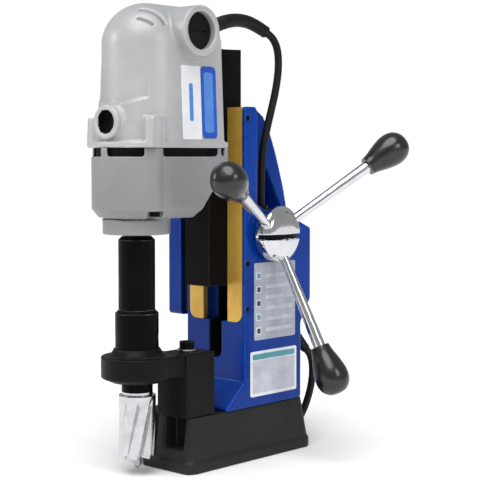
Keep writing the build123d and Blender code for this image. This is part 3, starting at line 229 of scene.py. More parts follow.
label_light_blue = finish("label_light_blue", rgb(84, 140, 214), rgb(64, 122, 204), 0.30, tone_scale=40,
                          grain_scale=2600, grain_depth=0.00001, hollow_gain=0.0, coat=0.4)
label_teal = finish("label_teal", rgb(70, 150, 166), rgb(54, 132, 150), 0.32, tone_scale=60,
                    grain_scale=2600, grain_depth=0.00001, hollow_gain=0.0, coat=0.3)
label_black = finish("label_black", rgb(30, 32, 42), rgb(22, 24, 32), 0.34, tone_scale=60,
                     grain_scale=2600, grain_depth=0.00001, hollow_gain=0.0, coat=0.3)
# Near-black stand-in for shade: painted shade in bores, slots and behind the vent slots.
shade_black = finish("shade_black", rgb(9, 9, 9), rgb(6, 6, 6), 0.75, tone_scale=60, grain_scale=900,
                    hollow_gain=0.0, specular=0.15)
floor_pale = finish("floor_pale", rgb(254, 254, 254), rgb(252, 252, 252), 0.90, tone_scale=3,
                    grain_scale=200, grain_depth=0.00001, hollow_gain=0.0)


# ---------------------------------------------------------------- making pieces
def link(name, data):
    piece = bpy.data.objects.new(name, data)
    bpy.context.scene.collection.objects.link(piece)
    return piece


def fit(piece, material, slot, body, *replaced):
    """Dress a new piece, let it ride on its body and stand for CAD nodes."""
    piece.data.materials.clear()
    piece.data.materials.append(material)
    if replaced:
        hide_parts(*replaced)
    if body:
        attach(piece, body)
    return piece


def mesh_piece(name, points, faces, sharp_deg=35.0):
    """Smooth-shaded mesh piece whose edges stay sharp above an angle."""
    mesh = bpy.data.meshes.new(name)
    mesh.from_pydata([tuple(point) for point in points], [], faces)
    mesh.validate()
    shape = bmesh.new()
    shape.from_mesh(mesh)
    bmesh.ops.remove_doubles(shape, verts=shape.verts, dist=1e-7)
    bmesh.ops.recalc_face_normals(shape, faces=shape.faces)
    shape.to_mesh(mesh)
    shape.free()
    mesh.shade_smooth()
    mesh.set_sharp_from_angle(angle=math.radians(sharp_deg))
    return link(name, mesh)


def skin(rings, closed_ends=True):
    """Points and faces of a tube through rings of equally many points; ends are capped."""
    count = len(rings[0])
    points = [point for row in rings for point in row]
    faces = []
    for row in range(len(rings) - 1):
        for step in range(count):
            after = (step + 1) % count
            faces.append((row * count + step, row * count + after,
                          (row + 1) * count + after, (row + 1) * count + step))
    if closed_ends:
        faces.append(tuple(reversed(range(count))))
        last = (len(rings) - 1) * count
        faces.append(tuple(range(last, last + count)))
    return points, faces


def frame_across(axis):
    """The unit axis and two unit vectors square to it."""
    axis = Vector(axis).normalized()
    helper = Vector((0, 0, 1)) if abs(axis.z) < 0.9 else Vector((1, 0, 0))
    side = axis.cross(helper).normalized()
    return axis, side, axis.cross(side)


def full_circle(segments):
    """Angles of evenly spaced points on a circle."""
    return [2 * math.pi * step / segments for step in range(segments)]


def turned(profile, base, axis, segments=56):
    """Rings of a turned shape: profile is (radius, distance along the axis from base)."""
    axis, side, other = frame_across(axis)
    base = Vector(base)
    rings = []
    spokes = [side * math.cos(turn) + other * math.sin(turn) for turn in full_circle(segments)]
    for radius, along in profile:
        rings.append([base + axis * along + spoke * radius for spoke in spokes])
    return rings


def smooth_profile(points, steps=6):
    """Catmull-Rom curve through profile points."""
    knots = [np.array(point, float) for point in points]
    knots = [2 * knots[0] - knots[1]] + knots + [2 * knots[-1] - knots[-2]]
    curve = []
    for before, low, high, after in zip(knots, knots[1:], knots[2:], knots[3:]):
        for step in range(steps):
            t = step / steps
            square = 2 * before - 5 * low + 4 * high - after
            cube = 3 * low - before - 3 * high + after
            curve.append(0.5 * (2 * low + (high - before) * t + square * t ** 2 + cube * t ** 3))
    curve.append(knots[-2])
    return [tuple(point) for point in curve]


def merge(parts):
    """Points and faces of several skins as one."""
    points, faces = [], []
    for part_points, part_faces in parts:
        offset = len(points)
        points += part_points
        faces += [tuple(index + offset for index in face) for face in part_faces]
    return points, faces


def rounded_plate(low_y, high_y, low_z, high_z, low_x, high_x, radius, corner_steps=6):
    """Plate with round corners, facing +X, with a fine bevel round its face."""
    outline = []
    centres = ((high_y - radius, high_z - radius, 0), (low_y + radius, high_z - radius, 90),
               (low_y + radius, low_z + radius, 180), (high_y - radius, low_z + radius, 270))
    for y, z, start in centres:
        for step in range(corner_steps + 1):
            turn = math.radians(start + 90 * step / corner_steps)
            outline.append((y, z, math.cos(turn), math.sin(turn)))
    bevel = min(0.0001, (high_x - low_x) / 2)
    rings = []
    for x, reach in ((low_x, radius), (high_x - bevel, radius), (high_x, radius - bevel)):
        rings.append([Vector((x, y + reach * c, z + reach * s)) for y, z, c, s in outline])
    return skin(rings)


# ---------------------------------------------------------------- carried-over CAD nodes
def machined(node, material, width, segments=2):
    """Keep a CAD node: weld its corners, break its edges and give it its finish."""
    piece = nodes[node]
    piece.data.materials.clear()
    piece.data.materials.append(material)
    weld = piece.modifiers.new("weld", "WELD")
    weld.merge_threshold = 2e-6
    bevel = piece.modifiers.new("broken_edges", "BEVEL")
    bevel.width = width
    bevel.segments = segments
    bevel.limit_method = "ANGLE"
    bevel.angle_limit = math.radians(38)
    bevel.use_clamp_overlap = True
    normals = piece.modifiers.new("even_normals", "WEIGHTED_NORMAL")
    normals.weight = 80
    normals.keep_sharp = False


def cast(node, name, material, slot, voxel, smooth_steps, reshape=None):
    """New piece with a CAD node's shape and the soft edges of a casting; reshape moves its points."""
    work = link("work", nodes[node].data.copy())
    weld = work.modifiers.new("weld", "WELD")
    weld.merge_threshold = 2e-6
    remesh = work.modifiers.new("remesh", "REMESH")
    remesh.mode = "VOXEL"
    remesh.voxel_size = voxel
    soften = work.modifiers.new("soften", "SMOOTH")
    soften.factor = 0.5
    soften.iterations = smooth_steps
    bpy.context.view_layer.update()
    graph = bpy.context.evaluated_depsgraph_get()
    mesh = bpy.data.meshes.new_from_object(work.evaluated_get(graph))
    bpy.data.objects.remove(work)
    mesh.name = name
    if reshape is not None:
        points = np.zeros(len(mesh.vertices) * 3)
        mesh.vertices.foreach_get("co", points)
        points = reshape(points.reshape(-1, 3))
        mesh.vertices.foreach_set("co", points.ravel())
    mesh.update()
    mesh.shade_smooth()
    piece = link(name, mesh)
    return fit(piece, material, slot, bodies_of[node], node)


# ---------------------------------------------------------------- camera, light and floor
SKY, SUN = 0.36, 2.6                            # strengths of the sky and of the soft sun


def camera():
    data = bpy.data.cameras.new("camera")
    data.lens = 92.86
    data.sensor_width = 36.0
    data.shift_y = -0.08
    data.clip_end = 30.0
    viewer = link("camera", data)
    viewer.location = (0.8223, -0.8446, 0.2739)
    viewer.rotation_euler = (math.radians(87.58), 0, math.radians(42.96))
    bpy.context.scene.camera = viewer


def soft_light(name, place, aim, size, power):
    data = bpy.data.lights.new(name, "AREA")
    data.shape = "SQUARE"
    data.size = size
    data.energy = power
    lamp = link(name, data)
    lamp.location = place
    lamp.rotation_euler = (Vector(aim) - Vector(place)).to_track_quat("-Z", "Y").to_euler()


def studio():
    """White sweep: a soft sun from above, a dim sky for the object and a white one behind it."""
    world = bpy.data.worlds.new("studio")
    world.use_nodes = True
    tree = world.node_tree
    background = tree.nodes["Background"]
    background.inputs["Strength"].default_value = SKY
    behind = tree.nodes.new("ShaderNodeBackground")
    behind.inputs["Strength"].default_value = 1.0
    for sky in (background, behind):
        sky.inputs["Color"].default_value = (1.0, 1.0, 1.0, 1.0)
    path = tree.nodes.new("ShaderNodeLightPath")
    choose = tree.nodes.new("ShaderNodeMixShader")
    tree.links.new(path.outputs["Is Camera Ray"], choose.inputs[0])
    tree.links.new(background.outputs[0], choose.inputs[1])
    tree.links.new(behind.outputs[0], choose.inputs[2])
    tree.links.new(choose.outputs[0], tree.nodes["World Output"].inputs["Surface"])
    bpy.context.scene.world = world
    bpy.context.scene.view_settings.view_transform = "Standard"

    data = bpy.data.lights.new("sun", "SUN")
    data.energy = SUN
    data.angle = math.radians(50)
    sun = link("sun", data)
    sun.rotation_euler = Vector((-0.25, 0.45, -1.0)).to_track_quat("-Z", "Y").to_euler()
    middle = (0.0, -0.02, 0.2)
    soft_light("left_side", (-1.1, -1.2, 0.8), middle, 0.5, 5)
    soft_light("right_side", (1.6, -0.1, 0.9), middle, 0.5, 5)

    half, low = 30.0, -0.0002
    points = [(-half, -half, low), (half, -half, low), (half, half, low), (-half, half, low)]
    floor = mesh_piece("floor", points, [(0, 1, 2, 3)])
    floor.data.materials.append(floor_pale)


# ---------------------------------------------------------------- cords
POWER_ROUTE = [(0.022, 0.093, 0.089), (0.022, 0.0988, 0.08417), (0.022, 0.1024, 0.077),
               (0.022, 0.1036, 0.067), (0.0218, 0.1025, 0.0555), (0.021, 0.0996, 0.044),
               (0.0185, 0.0966, 0.032), (0.014, 0.0942, 0.021), (0.007, 0.0926, 0.012),
               (-0.0025, 0.091, 0.0064), (-0.014, 0.0896, 0.0042), (-0.028, 0.0884, 0.004),
               (-0.043, 0.0878, 0.004), (-0.058, 0.0876, 0.004), (-0.074, 0.0875, 0.004)]
COIL_CENTRE = (-0.095, 0.133)
COIL_TAIL = [(-0.11775, 0.0936, 0.018), (-0.126, 0.0995, 0.023), (-0.1293, 0.108, 0.030),
             (-0.129, 0.117, 0.0335)]
MOTOR_ROUTE = [(0.018, 0.040, 0.3875), (0.0186, 0.0459, 0.38485), (0.0194, 0.051, 0.3798),
               (0.0201, 0.0543, 0.3724), (0.0205, 0.0554, 0.362), (0.0208, 0.0543, 0.349),
               (0.021, 0.0506, 0.3335), (0.021, 0.0452, 0.317), (0.021, 0.0392, 0.300),
               (0.021, 0.0338, 0.2825), (0.021, 0.0312, 0.264), (0.0211, 0.0304, 0.246),
               (0.0211, 0.0304, 0.228)]
BOOT_ROUTE = [(0.012, -0.032, 0.388), (0.012, -0.025, 0.388), (0.0126, -0.0165, 0.391),
              (0.014, -0.005, 0.3949), (0.015, 0.009, 0.3966), (0.0165, 0.025, 0.3943),
              (0.018, 0.040, 0.3875)]
CORD_R = 0.0035


def between(value, low, high):
    return min(max((value - low) / (high - low), 0.0), 1.0)


def coil_points():
    """Turns of the put-away lead: three layers, wound inwards, outwards and inwards."""
    outer, middle, inner = 0.0455, 0.0385, 0.0315
    layer_low, layer_rise = 0.004, 0.007
    per_turn, cut_in = 16, 0.981
    last_turn = 6.083
    count = int(last_turn * per_turn)
    points = []
    for index in range(1, count):
        turn = index / per_turn
        radius = outer + (middle - outer) * between(turn, 0.8, 1.0)
        radius += (inner - middle) * between(turn, 1.8, 2.0)
        radius += (middle - inner) * between(turn, 3.6, 3.8)
        radius += (outer - middle) * between(turn, 4.6, 4.8)
        height = layer_low + layer_rise * (between(turn, 2.6, 2.8) + between(turn, 5.4, 5.6))
        angle = -math.pi / 2 - 2 * math.pi * turn
        reach = radius / cut_in
        x, y = COIL_CENTRE[0] + reach * math.cos(angle), COIL_CENTRE[1] + reach * math.sin(angle)
        points.append((x, y, height))
    return points


def route_curve(name, route, radius=0.0, resolution=8):
    """One open NURBS spline with the route's points as its control points."""
    data = bpy.data.curves.new(name, "CURVE")
    data.dimensions = "3D"
    data.bevel_depth = radius
    data.bevel_resolution = 5
    data.use_fill_caps = True
    spline = data.splines.new("NURBS")
    spline.points.add(len(route) - 1)
    for point, place in zip(spline.points, route):
        point.co = (*place, 1.0)
    spline.order_u = 3
    spline.use_endpoint_u = True
    spline.resolution_u = resolution
    return link(name, data)


def centre_line(route):
    """Points along a route's NURBS spline."""
    guide = route_curve("guide", route, resolution=24)
    bpy.context.view_layer.update()
    graph = bpy.context.evaluated_depsgraph_get()
    mesh = bpy.data.meshes.new_from_object(guide.evaluated_get(graph))
    path = [vertex.co.copy() for vertex in mesh.vertices]
    bpy.data.objects.remove(guide)
    return path


def along_path(path, radius_at, segments=24):
    """Rings of a tube along a path; radius_at takes the distance from its start."""
    rings, travelled, side = [], 0.0, None
    for index, point in enumerate(path):
        if index:
            travelled += (point - path[index - 1]).length
        ahead = path[min(index + 1, len(path) - 1)] - path[max(index - 1, 0)]
        ahead.normalize()
        if side is None:
            side = frame_across(ahead)[1]
        side = (side - ahead * side.dot(ahead)).normalized()
        other = ahead.cross(side)
        radius = radius_at(travelled)
        turns = full_circle(segments)
        rings.append([point + (side * math.cos(turn) + other * math.sin(turn)) * radius for turn in turns])
    return rings


def travel(path):
    return sum((after - before).length for before, after in zip(path, path[1:]))


def cords():
    """Mains lead with its plug and strain relief, and the motor's cable with its boot."""
    lead = route_curve("power_lead", POWER_ROUTE + coil_points() + COIL_TAIL, CORD_R)
    fit(lead, rubber, "rubber", "base", "power_cord", "power_cord_coil")
    plug = mains_plug()

    path = centre_line(MOTOR_ROUTE)
    cable = mesh_piece("motor_lead", *skin(along_path(path, lambda s: CORD_R)))
    fit(cable, rubber, "rubber", None, "motor_cable")
    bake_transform(cable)

    # Boot of the motor's cable: collar, ribbed neck and a plain tapered sleeve.
    path = centre_line(BOOT_ROUTE)
    length = travel(path)

    root_r, taper, collar_r, collar_length = 0.0066, 0.0010, 0.0078, 0.003
    ribs_start, ribs_end, rib_pitch, rib_depth = 0.004, 0.020, 0.004, 0.0005

    def boot_radius(distance):
        plain = root_r - taper * distance / length
        if distance < collar_length:
            return collar_r
        groove = 0.5 - 0.5 * math.cos(2 * math.pi * (distance - ribs_start) / rib_pitch)
        ribbed = ribs_start < distance < ribs_end
        return plain - (rib_depth * groove if ribbed else 0.0)

    boot = mesh_piece("motor_cable_boot", *skin(along_path(path, boot_radius, 32)))
    fit(boot, rubber, "rubber", "head", "motor_boot")

    # Strain relief of the mains lead: a ribbed cone.
    tip, axis = Vector(POWER_ROUTE[0]), Vector(POWER_ROUTE[1]) - Vector(POWER_ROUTE[0])
    relief_length, root_r, taper, rib_depth, rib_count, steps = 0.0245, 0.0071, 0.0028, 0.0008, 6, 60
    profile = []
    for step in range(steps):
        share = step / (steps - 1)
        radius = root_r - taper * share
        groove = 0.5 - 0.5 * math.cos(2 * math.pi * share * rib_count)
        profile.append((radius - rib_depth * groove * (0.1 < share < 0.93), share * relief_length))
    base = tip - axis.normalized() * relief_length
    relief = mesh_piece("lead_strain_relief", *skin(turned(profile, base, axis, 36)))
    fit(relief, rubber, "rubber", "base", "power_boot")


def mains_plug():
    """Moulded plug: ribbed neck, body with a waist and finger ridges."""
    x, y, z = -0.129, 0.134, 0.0335
    neck, body, half_w, half_h = 0.017, 0.032, 0.0128, 0.0118
    neck_low_r, neck_flare, neck_rib, ridge_depth = 0.0048, 0.0038, 0.0006, 0.0005
    stations, segments, rings = 44, 40, []
    for station in range(stations):
        share = station / (stations - 1)
        along = -neck + (neck + body) * share
        body_share = between(along, -0.001, 0.006)
        body_share = body_share * body_share * (3 - 2 * body_share)
        neck_r = neck_low_r + neck_flare * between(along, -neck, 0.0)
        neck_r -= neck_rib * (along < 0) * (station % 3 == 1)
        waist = 1 - 0.09 * math.exp(-((along - 0.013) / 0.005) ** 2)
        ridge = ridge_depth * (0.006 < along < 0.021) * (station % 2)
        end = 1 - 0.10 * between(along, 0.0305, body)
        half_x, half_z = half_w * waist * end - ridge, half_h * waist * end - ridge
        row = []
        for turn in full_circle(segments):
            c, s = math.cos(turn), math.sin(turn)
            square = (abs(c) ** 4 + abs(s) ** 4) ** -0.25
            across = (1 - body_share) * neck_r * c + body_share * half_x * square * c
            upward = (1 - body_share) * neck_r * s + body_share * half_z * square * s
            row.append(Vector((x + across, y + along, z + upward)))
        rings.append(row)
    plug = mesh_piece("lead_plug", *skin(rings))
    return fit(plug, black_plastic, "black_plastic", "base", "mains_plug")


# ---------------------------------------------------------------- castings
SPINDLE_Y, HOUSING_FRONT_Y = -0.104, -0.008
MOTOR_R, MOTOR_CENTRE_Y, DOME_Z, MOTOR_LOW_Z = 0.038, -0.093, 0.366, 0.286
FLARE = 0.0035                                  # the barrel is this much wider at its foot


def flared(points):
    """The motor's sides and front widen below the dome."""
    share = np.clip((DOME_Z - points[:, 2]) / (DOME_Z - MOTOR_LOW_Z), 0.0, 1.0)
    scale = 1 + FLARE / MOTOR_R * share
    widest = MOTOR_R + FLARE
    across = np.abs(points[:, 0])
    points[:, 0] = np.sign(points[:, 0]) * np.maximum(across, np.minimum(across * scale, widest))
    ahead = MOTOR_CENTRE_Y - points[:, 1]
    longer = np.maximum(ahead, np.minimum(ahead * scale, widest))
    points[:, 1] = np.where(ahead > 0, MOTOR_CENTRE_Y - longer, points[:, 1])
    return points


GROOVE_HALF_W, GROOVE_DEPTH = 0.0017, 0.0014
# Start, middle and end of each groove, as directions from the dome's centre.
DOME_GROOVES = (((0.34, -0.50, 0.80), (0.65, -0.29, 0.70), (0.87, -0.20, 0.45)),
                ((0.46, -0.67, 0.59), (0.63, -0.57, 0.53), (0.78, -0.46, 0.43)))


def groove_share(outward):
    """How far into a groove each direction from the dome's centre lies, from 0 to 1."""
    share = np.zeros(len(outward))
    for groove in DOME_GROOVES:
        start, middle, end = (np.array(place) / np.linalg.norm(place) for place in groove)
        normal = np.cross(middle - start, end - start)
        normal /= np.linalg.norm(normal)
        away = np.abs((outward - start) @ normal) * MOTOR_R / GROOVE_HALF_W
        span = end - start
        along = (outward - start) @ span / (span @ span)
        reach = np.clip(np.minimum(along, 1 - along) / 0.06 + 0.5, 0, 1)
        share = np.maximum(share, np.clip(1 - away ** 2, 0, 1) * reach)
    return share


def dome_grooves(points):
    """Two arc grooves in the front corner of the dome, each where a plane cuts the sphere."""
    from_centre = points - np.array((0.0, MOTOR_CENTRE_Y, DOME_Z))
    distance = np.linalg.norm(from_centre, axis=1)
    outward = from_centre / np.maximum(distance, 1e-6)[:, None]
    on_dome = (np.abs(distance - MOTOR_R) < 0.0016) & (outward[:, 2] > 0.3)
    return points - outward * (GROOVE_DEPTH * groove_share(outward) * on_dome)[:, None]


def in_dome_groove(place):
    from_centre = np.array(place) - np.array((0.0, MOTOR_CENTRE_Y, DOME_Z))
    distance = np.linalg.norm(from_centre)
    outward = (from_centre / max(distance, 1e-6))[None, :]
    return abs(distance - MOTOR_R) < 0.003 and outward[0, 2] > 0.3 and groove_share(outward)[0] > 0.45


def front_facet(points):
    """Shield-shaped facet in the motor's front: flush at the dome and sunk at its lower ledge."""
    half_angle, top_z, ledge_z, depth = math.radians(53), 0.386, 0.314, 0.0024
    ahead = MOTOR_CENTRE_Y - points[:, 1]
    turn = np.arctan2(np.abs(points[:, 0]), ahead)
    above = np.maximum(points[:, 2] - DOME_Z, 0.0)
    from_centre = np.stack([points[:, 0], points[:, 1] - MOTOR_CENTRE_Y, above], axis=1)
    distance = np.linalg.norm(from_centre, axis=1)
    outer = np.abs(distance - MOTOR_R) < 0.0009
    low_z = ledge_z + 0.008 * turn / half_angle
    sunk = np.clip((top_z - points[:, 2]) / (top_z - ledge_z), 0, 1)
    sunk = sunk * sunk * (3 - 2 * sunk)
    ledge = np.clip((points[:, 2] - low_z) / 0.0018, 0, 1)
    side = np.clip((half_angle - turn) / math.radians(4), 0, 1)
    pull = depth * sunk * ledge * side * side * (3 - 2 * side) * outer
    return points - from_centre / np.maximum(distance, 1e-6)[:, None] * pull[:, None]


def motor_form(points):
    return flared(front_facet(dome_grooves(points)))


def case_form(points):
    """The gear case narrows at its lower edge."""
    edge_z, floor_z, cut = 0.2285, 0.2205, 0.0065
    share = np.clip((edge_z - points[:, 2]) / (edge_z - floor_z), 0.0, 1.0)
    outer_y, half = -0.099, 0.042
    ahead = np.minimum(points[:, 1] - outer_y, 0.0)
    reach = np.maximum(np.hypot(points[:, 0], ahead), 1e-6)
    near_rim = np.clip((reach - 0.028) / 0.010, 0.0, 1.0)
    pull = 1 - cut * share * near_rim * (points[:, 2] > floor_z - 0.0006) / half
    points[:, 0] *= pull
    points[:, 1] = np.where(ahead < 0, outer_y + ahead * pull, points[:, 1])
    return points


def housing_form(points):
    """The faces that the slide and its dovetail run on stay flat down to the end of their travel."""
    channel_back_y, off = 0.004, 0.0001
    faces = ((HOUSING_FRONT_Y, 0.0165, 0.1045, 0.1265), (channel_back_y, 0.0235, 0.1248, 0.140))
    for face_y, half_w, low_z, high_z in faces:
        behind = (np.abs(points[:, 0]) < half_w) & (points[:, 2] > low_z) & (points[:, 2] < high_z)
        near = behind & (np.abs(points[:, 1] - face_y) < 0.0025)
        points[:, 1] = np.where(near, np.maximum(points[:, 1], face_y + off), points[:, 1])
    return points


def paint_faces(piece, material, chosen):
    """Give the faces whose centre passes a test a second material."""
    piece.data.materials.append(material)
    index = len(piece.data.materials) - 1
    for face in piece.data.polygons:
        if chosen(face.center):
            face.material_index = index


def in_boss_bore(place):
    """Wall and floor of the bore in the motor's front boss."""
    axis_z, wall_r, mouth_y, floor_y = 0.302, 0.0103, -0.1386, -0.1275
    return math.hypot(place.x, place.z - axis_z) < wall_r and mouth_y < place.y < floor_y


def in_vent_slots(place):
    """Inside the gear case's wall, at the height of its vent slots."""
    nose_centre_y, inside, slot_low_z, slot_high_z = -0.099, 0.0406, 0.2733, 0.2802
    reach = math.hypot(place.x, min(place.y - nose_centre_y, 0.0))
    return slot_low_z < place.z < slot_high_z and reach < inside


def in_rack_slot(place):
    """Inside the slot that the rack runs in, below the slide."""
    half_w, low_z, high_z, least, depth = 0.0085, 0.09, 0.33, 0.0004, 0.030
    behind_face = place.y - HOUSING_FRONT_Y
    return abs(place.x) < half_w and least < behind_face < depth and low_z < place.z < high_z


def castings():
    motor = cast("motor_housing", "motor_housing_casting", casting_grey, "grey_casting", 0.00103, 4,
                 motor_form)
    # Painted shade: the bore of the front boss is black.
    paint_faces(motor, shade_black, in_boss_bore)
    # Painted shade: the dome's grooves get the darker casting grey.
    paint_faces(motor, casting_grey_shaded, in_dome_groove)
    # Painted shade: the gear case, below the motor, gets the darker casting grey.
    case = cast("gear_case", "gear_case_casting", casting_grey_shaded, "grey_casting", 0.0009, 4, case_form)
    # Painted shade: the inside of the wall behind the vent slots is black.
    paint_faces(case, shade_black, in_vent_slots)
    housing = cast("housing", "column_housing_casting", housing_blue, "blue_paint", 0.0013, 4,
                   housing_form)
    # Painted shade: the inside of the rack slot is black.
    paint_faces(housing, shade_black, in_rack_slot)
    cast("magnet_base", "magnet_body", magnet_charcoal, "charcoal_paint", 0.0012, 4)
    cast("support_bracket", "arbor_bracket", black_satin, "black_steel", 0.0009, 4)

    # Raised lip round the bracket's bore.
    top_z = 0.1022
    profile = [(0.01905, 0.0), (0.0248, 0.0), (0.0246, 0.0009), (0.0226, 0.0022), (0.0206, 0.0052),
               (0.0200, 0.0064), (0.0194, 0.0067), (0.01905, 0.0064)]
    rings = turned(profile + profile[:1], (0, SPINDLE_Y, top_z), (0, 0, 1), 72)
    lip = mesh_piece("bracket_bore_lip", *skin(rings, closed_ends=False))
    fit(lip, black_satin, "black_steel", "base")


# ---------------------------------------------------------------- feed hub and knobs
FEED_Y, FEED_Z = 0.0246, 0.2033
KNOB_X, KNOB_REACH, KNOB_LENGTH = 0.0957, 0.121, 0.045
SPOKE_ROOT_X, SPOKE_ROOT = 0.049, 0.014
FIRST_SPOKE_DEG = 36.8
KNOB_PROFILE = [(0.0, 0.0), (0.0078, 0.0001), (0.0086, 0.0008), (0.0100, 0.007), (0.0126, 0.015),
                (0.0147, 0.023), (0.0153, 0.029), (0.0148, 0.034), (0.0128, 0.039), (0.0085, 0.0432),
                (0.0035, 0.0448), (0.0, 0.045)]


def spoke_lines():
    """Lower and upper end of each knob, on its spoke's line."""
    slope = (KNOB_X - SPOKE_ROOT_X) / (KNOB_REACH - SPOKE_ROOT)
    half = KNOB_LENGTH / 2 / math.hypot(1, slope)
    lines = []
    for spoke in range(3):
        angle = math.radians(FIRST_SPOKE_DEG + 120 * spoke)
        ends = []
        for off in (-half, half):
            reach = KNOB_REACH + off
            y, z = FEED_Y + reach * math.cos(angle), FEED_Z + reach * math.sin(angle)
            ends.append(Vector((KNOB_X + off * slope, y, z)))
        lines.append(ends)
    return lines


def feed_handle():
    """Chrome hub with a grooved rim, and three knobs on their spokes."""
    knobs = []
    for low, high in spoke_lines():
        knobs.append(skin(turned(smooth_profile(KNOB_PROFILE), low, high - low, 48)))
    fit(mesh_piece("hand_knobs", *merge(knobs)), knob_black, "knob_plastic", "feed", "knobs")

    hub_profile = [(0.0075, 0.0006), (0.0185, 0.0006), (0.0190, 0.0012), (0.0190, 0.0036), (0.0200, 0.0044),
                   (0.0240, 0.0048), (0.0250, 0.0058), (0.0250, 0.0140), (0.0244, 0.0152), (0.0225, 0.0172),
                   (0.0195, 0.0194), (0.0160, 0.0204), (0.0120, 0.0209), (0.0060, 0.0212), (0.0, 0.0213)]
    rings = turned(smooth_profile(hub_profile, 4), (0.037, FEED_Y, FEED_Z), (1, 0, 0), 180)
    groove_z, groove_half, groove_depth = FEED_Z - 0.0025, 0.0021, 0.0035
    shaped = []
    for row in rings:
        new_row = []
        for point in row:
            near = 1 - between(abs(point.z - groove_z), groove_half * 0.8, groove_half * 1.1)
            outward = between(point.x, 0.0400, 0.0480)
            pull = groove_depth * near * outward
            reach = math.hypot(point.y - FEED_Y, point.z - FEED_Z)
            inward = 1 - pull / max(reach, 0.006) * between(reach, 0.012, 0.020)
            y, z = FEED_Y + (point.y - FEED_Y) * inward, FEED_Z + (point.z - FEED_Z) * inward
            new_row.append(Vector((point.x - pull * between(point.x, 0.050, 0.056), y, z)))
        shaped.append(new_row)
    hub = mesh_piece("hub_body", *skin(shaped))
    fit(hub, chrome, "chrome", "feed", "feed_hub")
    # Painted shade: the groove round the hub's rim is black oxide.
    paint_faces(hub, black_oxide,
                lambda place: abs(place.z - groove_z) < groove_half * 0.85 and place.x > 0.044)


# ---------------------------------------------------------------- cutter
def annular_cutter():
    """Hollow cutter with helical flutes, toothed rim and a plain neck."""
    outer, bore, pin_bore, neck_r = 0.016, 0.0126, 0.0034, 0.0134
    tip_z, flute_top, shoulder_z, neck_z = 0.015, 0.066, 0.0715, 0.0975
    flutes, flute_depth, land_relief, twist = 8, 0.0017, 0.00035, 16.0     # twist in radians per metre
    tooth_rise, black_from_z = 0.0026, 0.0712
    segments, rows = 192, 56

    def wall(turn, z):
        phase = ((turn - twist * (z - tip_z)) * flutes / (2 * math.pi)) % 1.0
        fade = 1 - between(z, flute_top - 0.006, flute_top)
        gullet = math.exp(-((phase - 0.2) / 0.10) ** 2)
        relief = land_relief * between(phase, 0.45, 0.98)
        return outer - fade * (flute_depth * gullet + land_relief - relief)

    def tip(turn):
        phase = (turn * flutes / (2 * math.pi)) % 1.0
        return tip_z + tooth_rise * (1 - between(phase, 0.30, 0.95)) * between(phase, 0.0, 0.10)

    turns = full_circle(segments)

    def ring_at(radius_of, z_of):
        ring = []
        for turn in turns:
            radius = radius_of(turn)
            ring.append(Vector((radius * math.cos(turn), SPINDLE_Y + radius * math.sin(turn), z_of(turn))))
        return ring

    rings = [ring_at(lambda a: pin_bore, lambda a: 0.0655), ring_at(lambda a: bore - 0.001, lambda a: 0.0655),
             ring_at(lambda a: bore, lambda a: 0.0645), ring_at(lambda a: bore, tip)]
    for row in range(rows + 1):
        share = row / rows
        rings.append(ring_at(lambda a: wall(a, tip(a) + (flute_top - tip(a)) * share),
                             lambda a: tip(a) + (flute_top - tip(a)) * share))
    for radius, z in ((outer, 0.0682), (0.0156, 0.0688), (0.0138, 0.0690), (neck_r, 0.0694),
                      (neck_r, shoulder_z), (neck_r, 0.0735), (neck_r, neck_z), (pin_bore, neck_z)):
        rings.append(ring_at(lambda a: radius, lambda a: z))
    points, faces = skin(rings, closed_ends=False)
    last = (len(rings) - 1) * segments
    for step in range(segments):
        after = (step + 1) % segments
        faces.append((last + step, last + after, after, step))
    cutter = mesh_piece("broach_cutter", points, faces, 30)
    fit(cutter, cutter_steel, "tool_steel", "spindle", "annular_cutter")
    paint_faces(cutter, arbor_black, lambda place: place.z > black_from_z)


def pilot_spring():
    """Coil spring above the pilot pin, with closer end turns."""
    low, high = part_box("ejector_spring")
    wire_r, coil_r, turns, per_turn = 0.00065, 0.0043, 15, 24
    pilot_travel, low_z, high_z = 0.028, low[2] + wire_r, high[2] - wire_r
    path = []
    for index in range(turns * per_turn + 1):
        share = index / (turns * per_turn)
        angle = 2 * math.pi * turns * share
        rise = share - 0.05 * math.sin(2 * math.pi * share)
        x, y = coil_r * math.cos(angle), SPINDLE_Y + coil_r * math.sin(angle)
        path.append(Vector((x, y, low_z + (high_z - low_z) * rise)))
    spring = mesh_piece("pilot_spring", *skin(along_path(path, lambda s: wire_r, 12)))
    fit(spring, steel, "steel", "spindle", "ejector_spring")
    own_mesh(spring)


# ---------------------------------------------------------------- labels
def label(name, body, parts, *replaced):
    """Foil label made of thin plates, each with its own print colour."""
    points, faces = merge([part for part, _ in parts])
    piece = mesh_piece(name, points, faces)
    fit(piece, parts[0][1], "label_foil", body, *replaced)
    colours, first_face = [parts[0][1]], 0
    for (_, part_faces), colour in parts:
        if colour not in colours:
            colours.append(colour)
            piece.data.materials.append(colour)
        for index in range(first_face, first_face + len(part_faces)):
            piece.data.polygons[index].material_index = colours.index(colour)
        first_face += len(part_faces)
    return piece


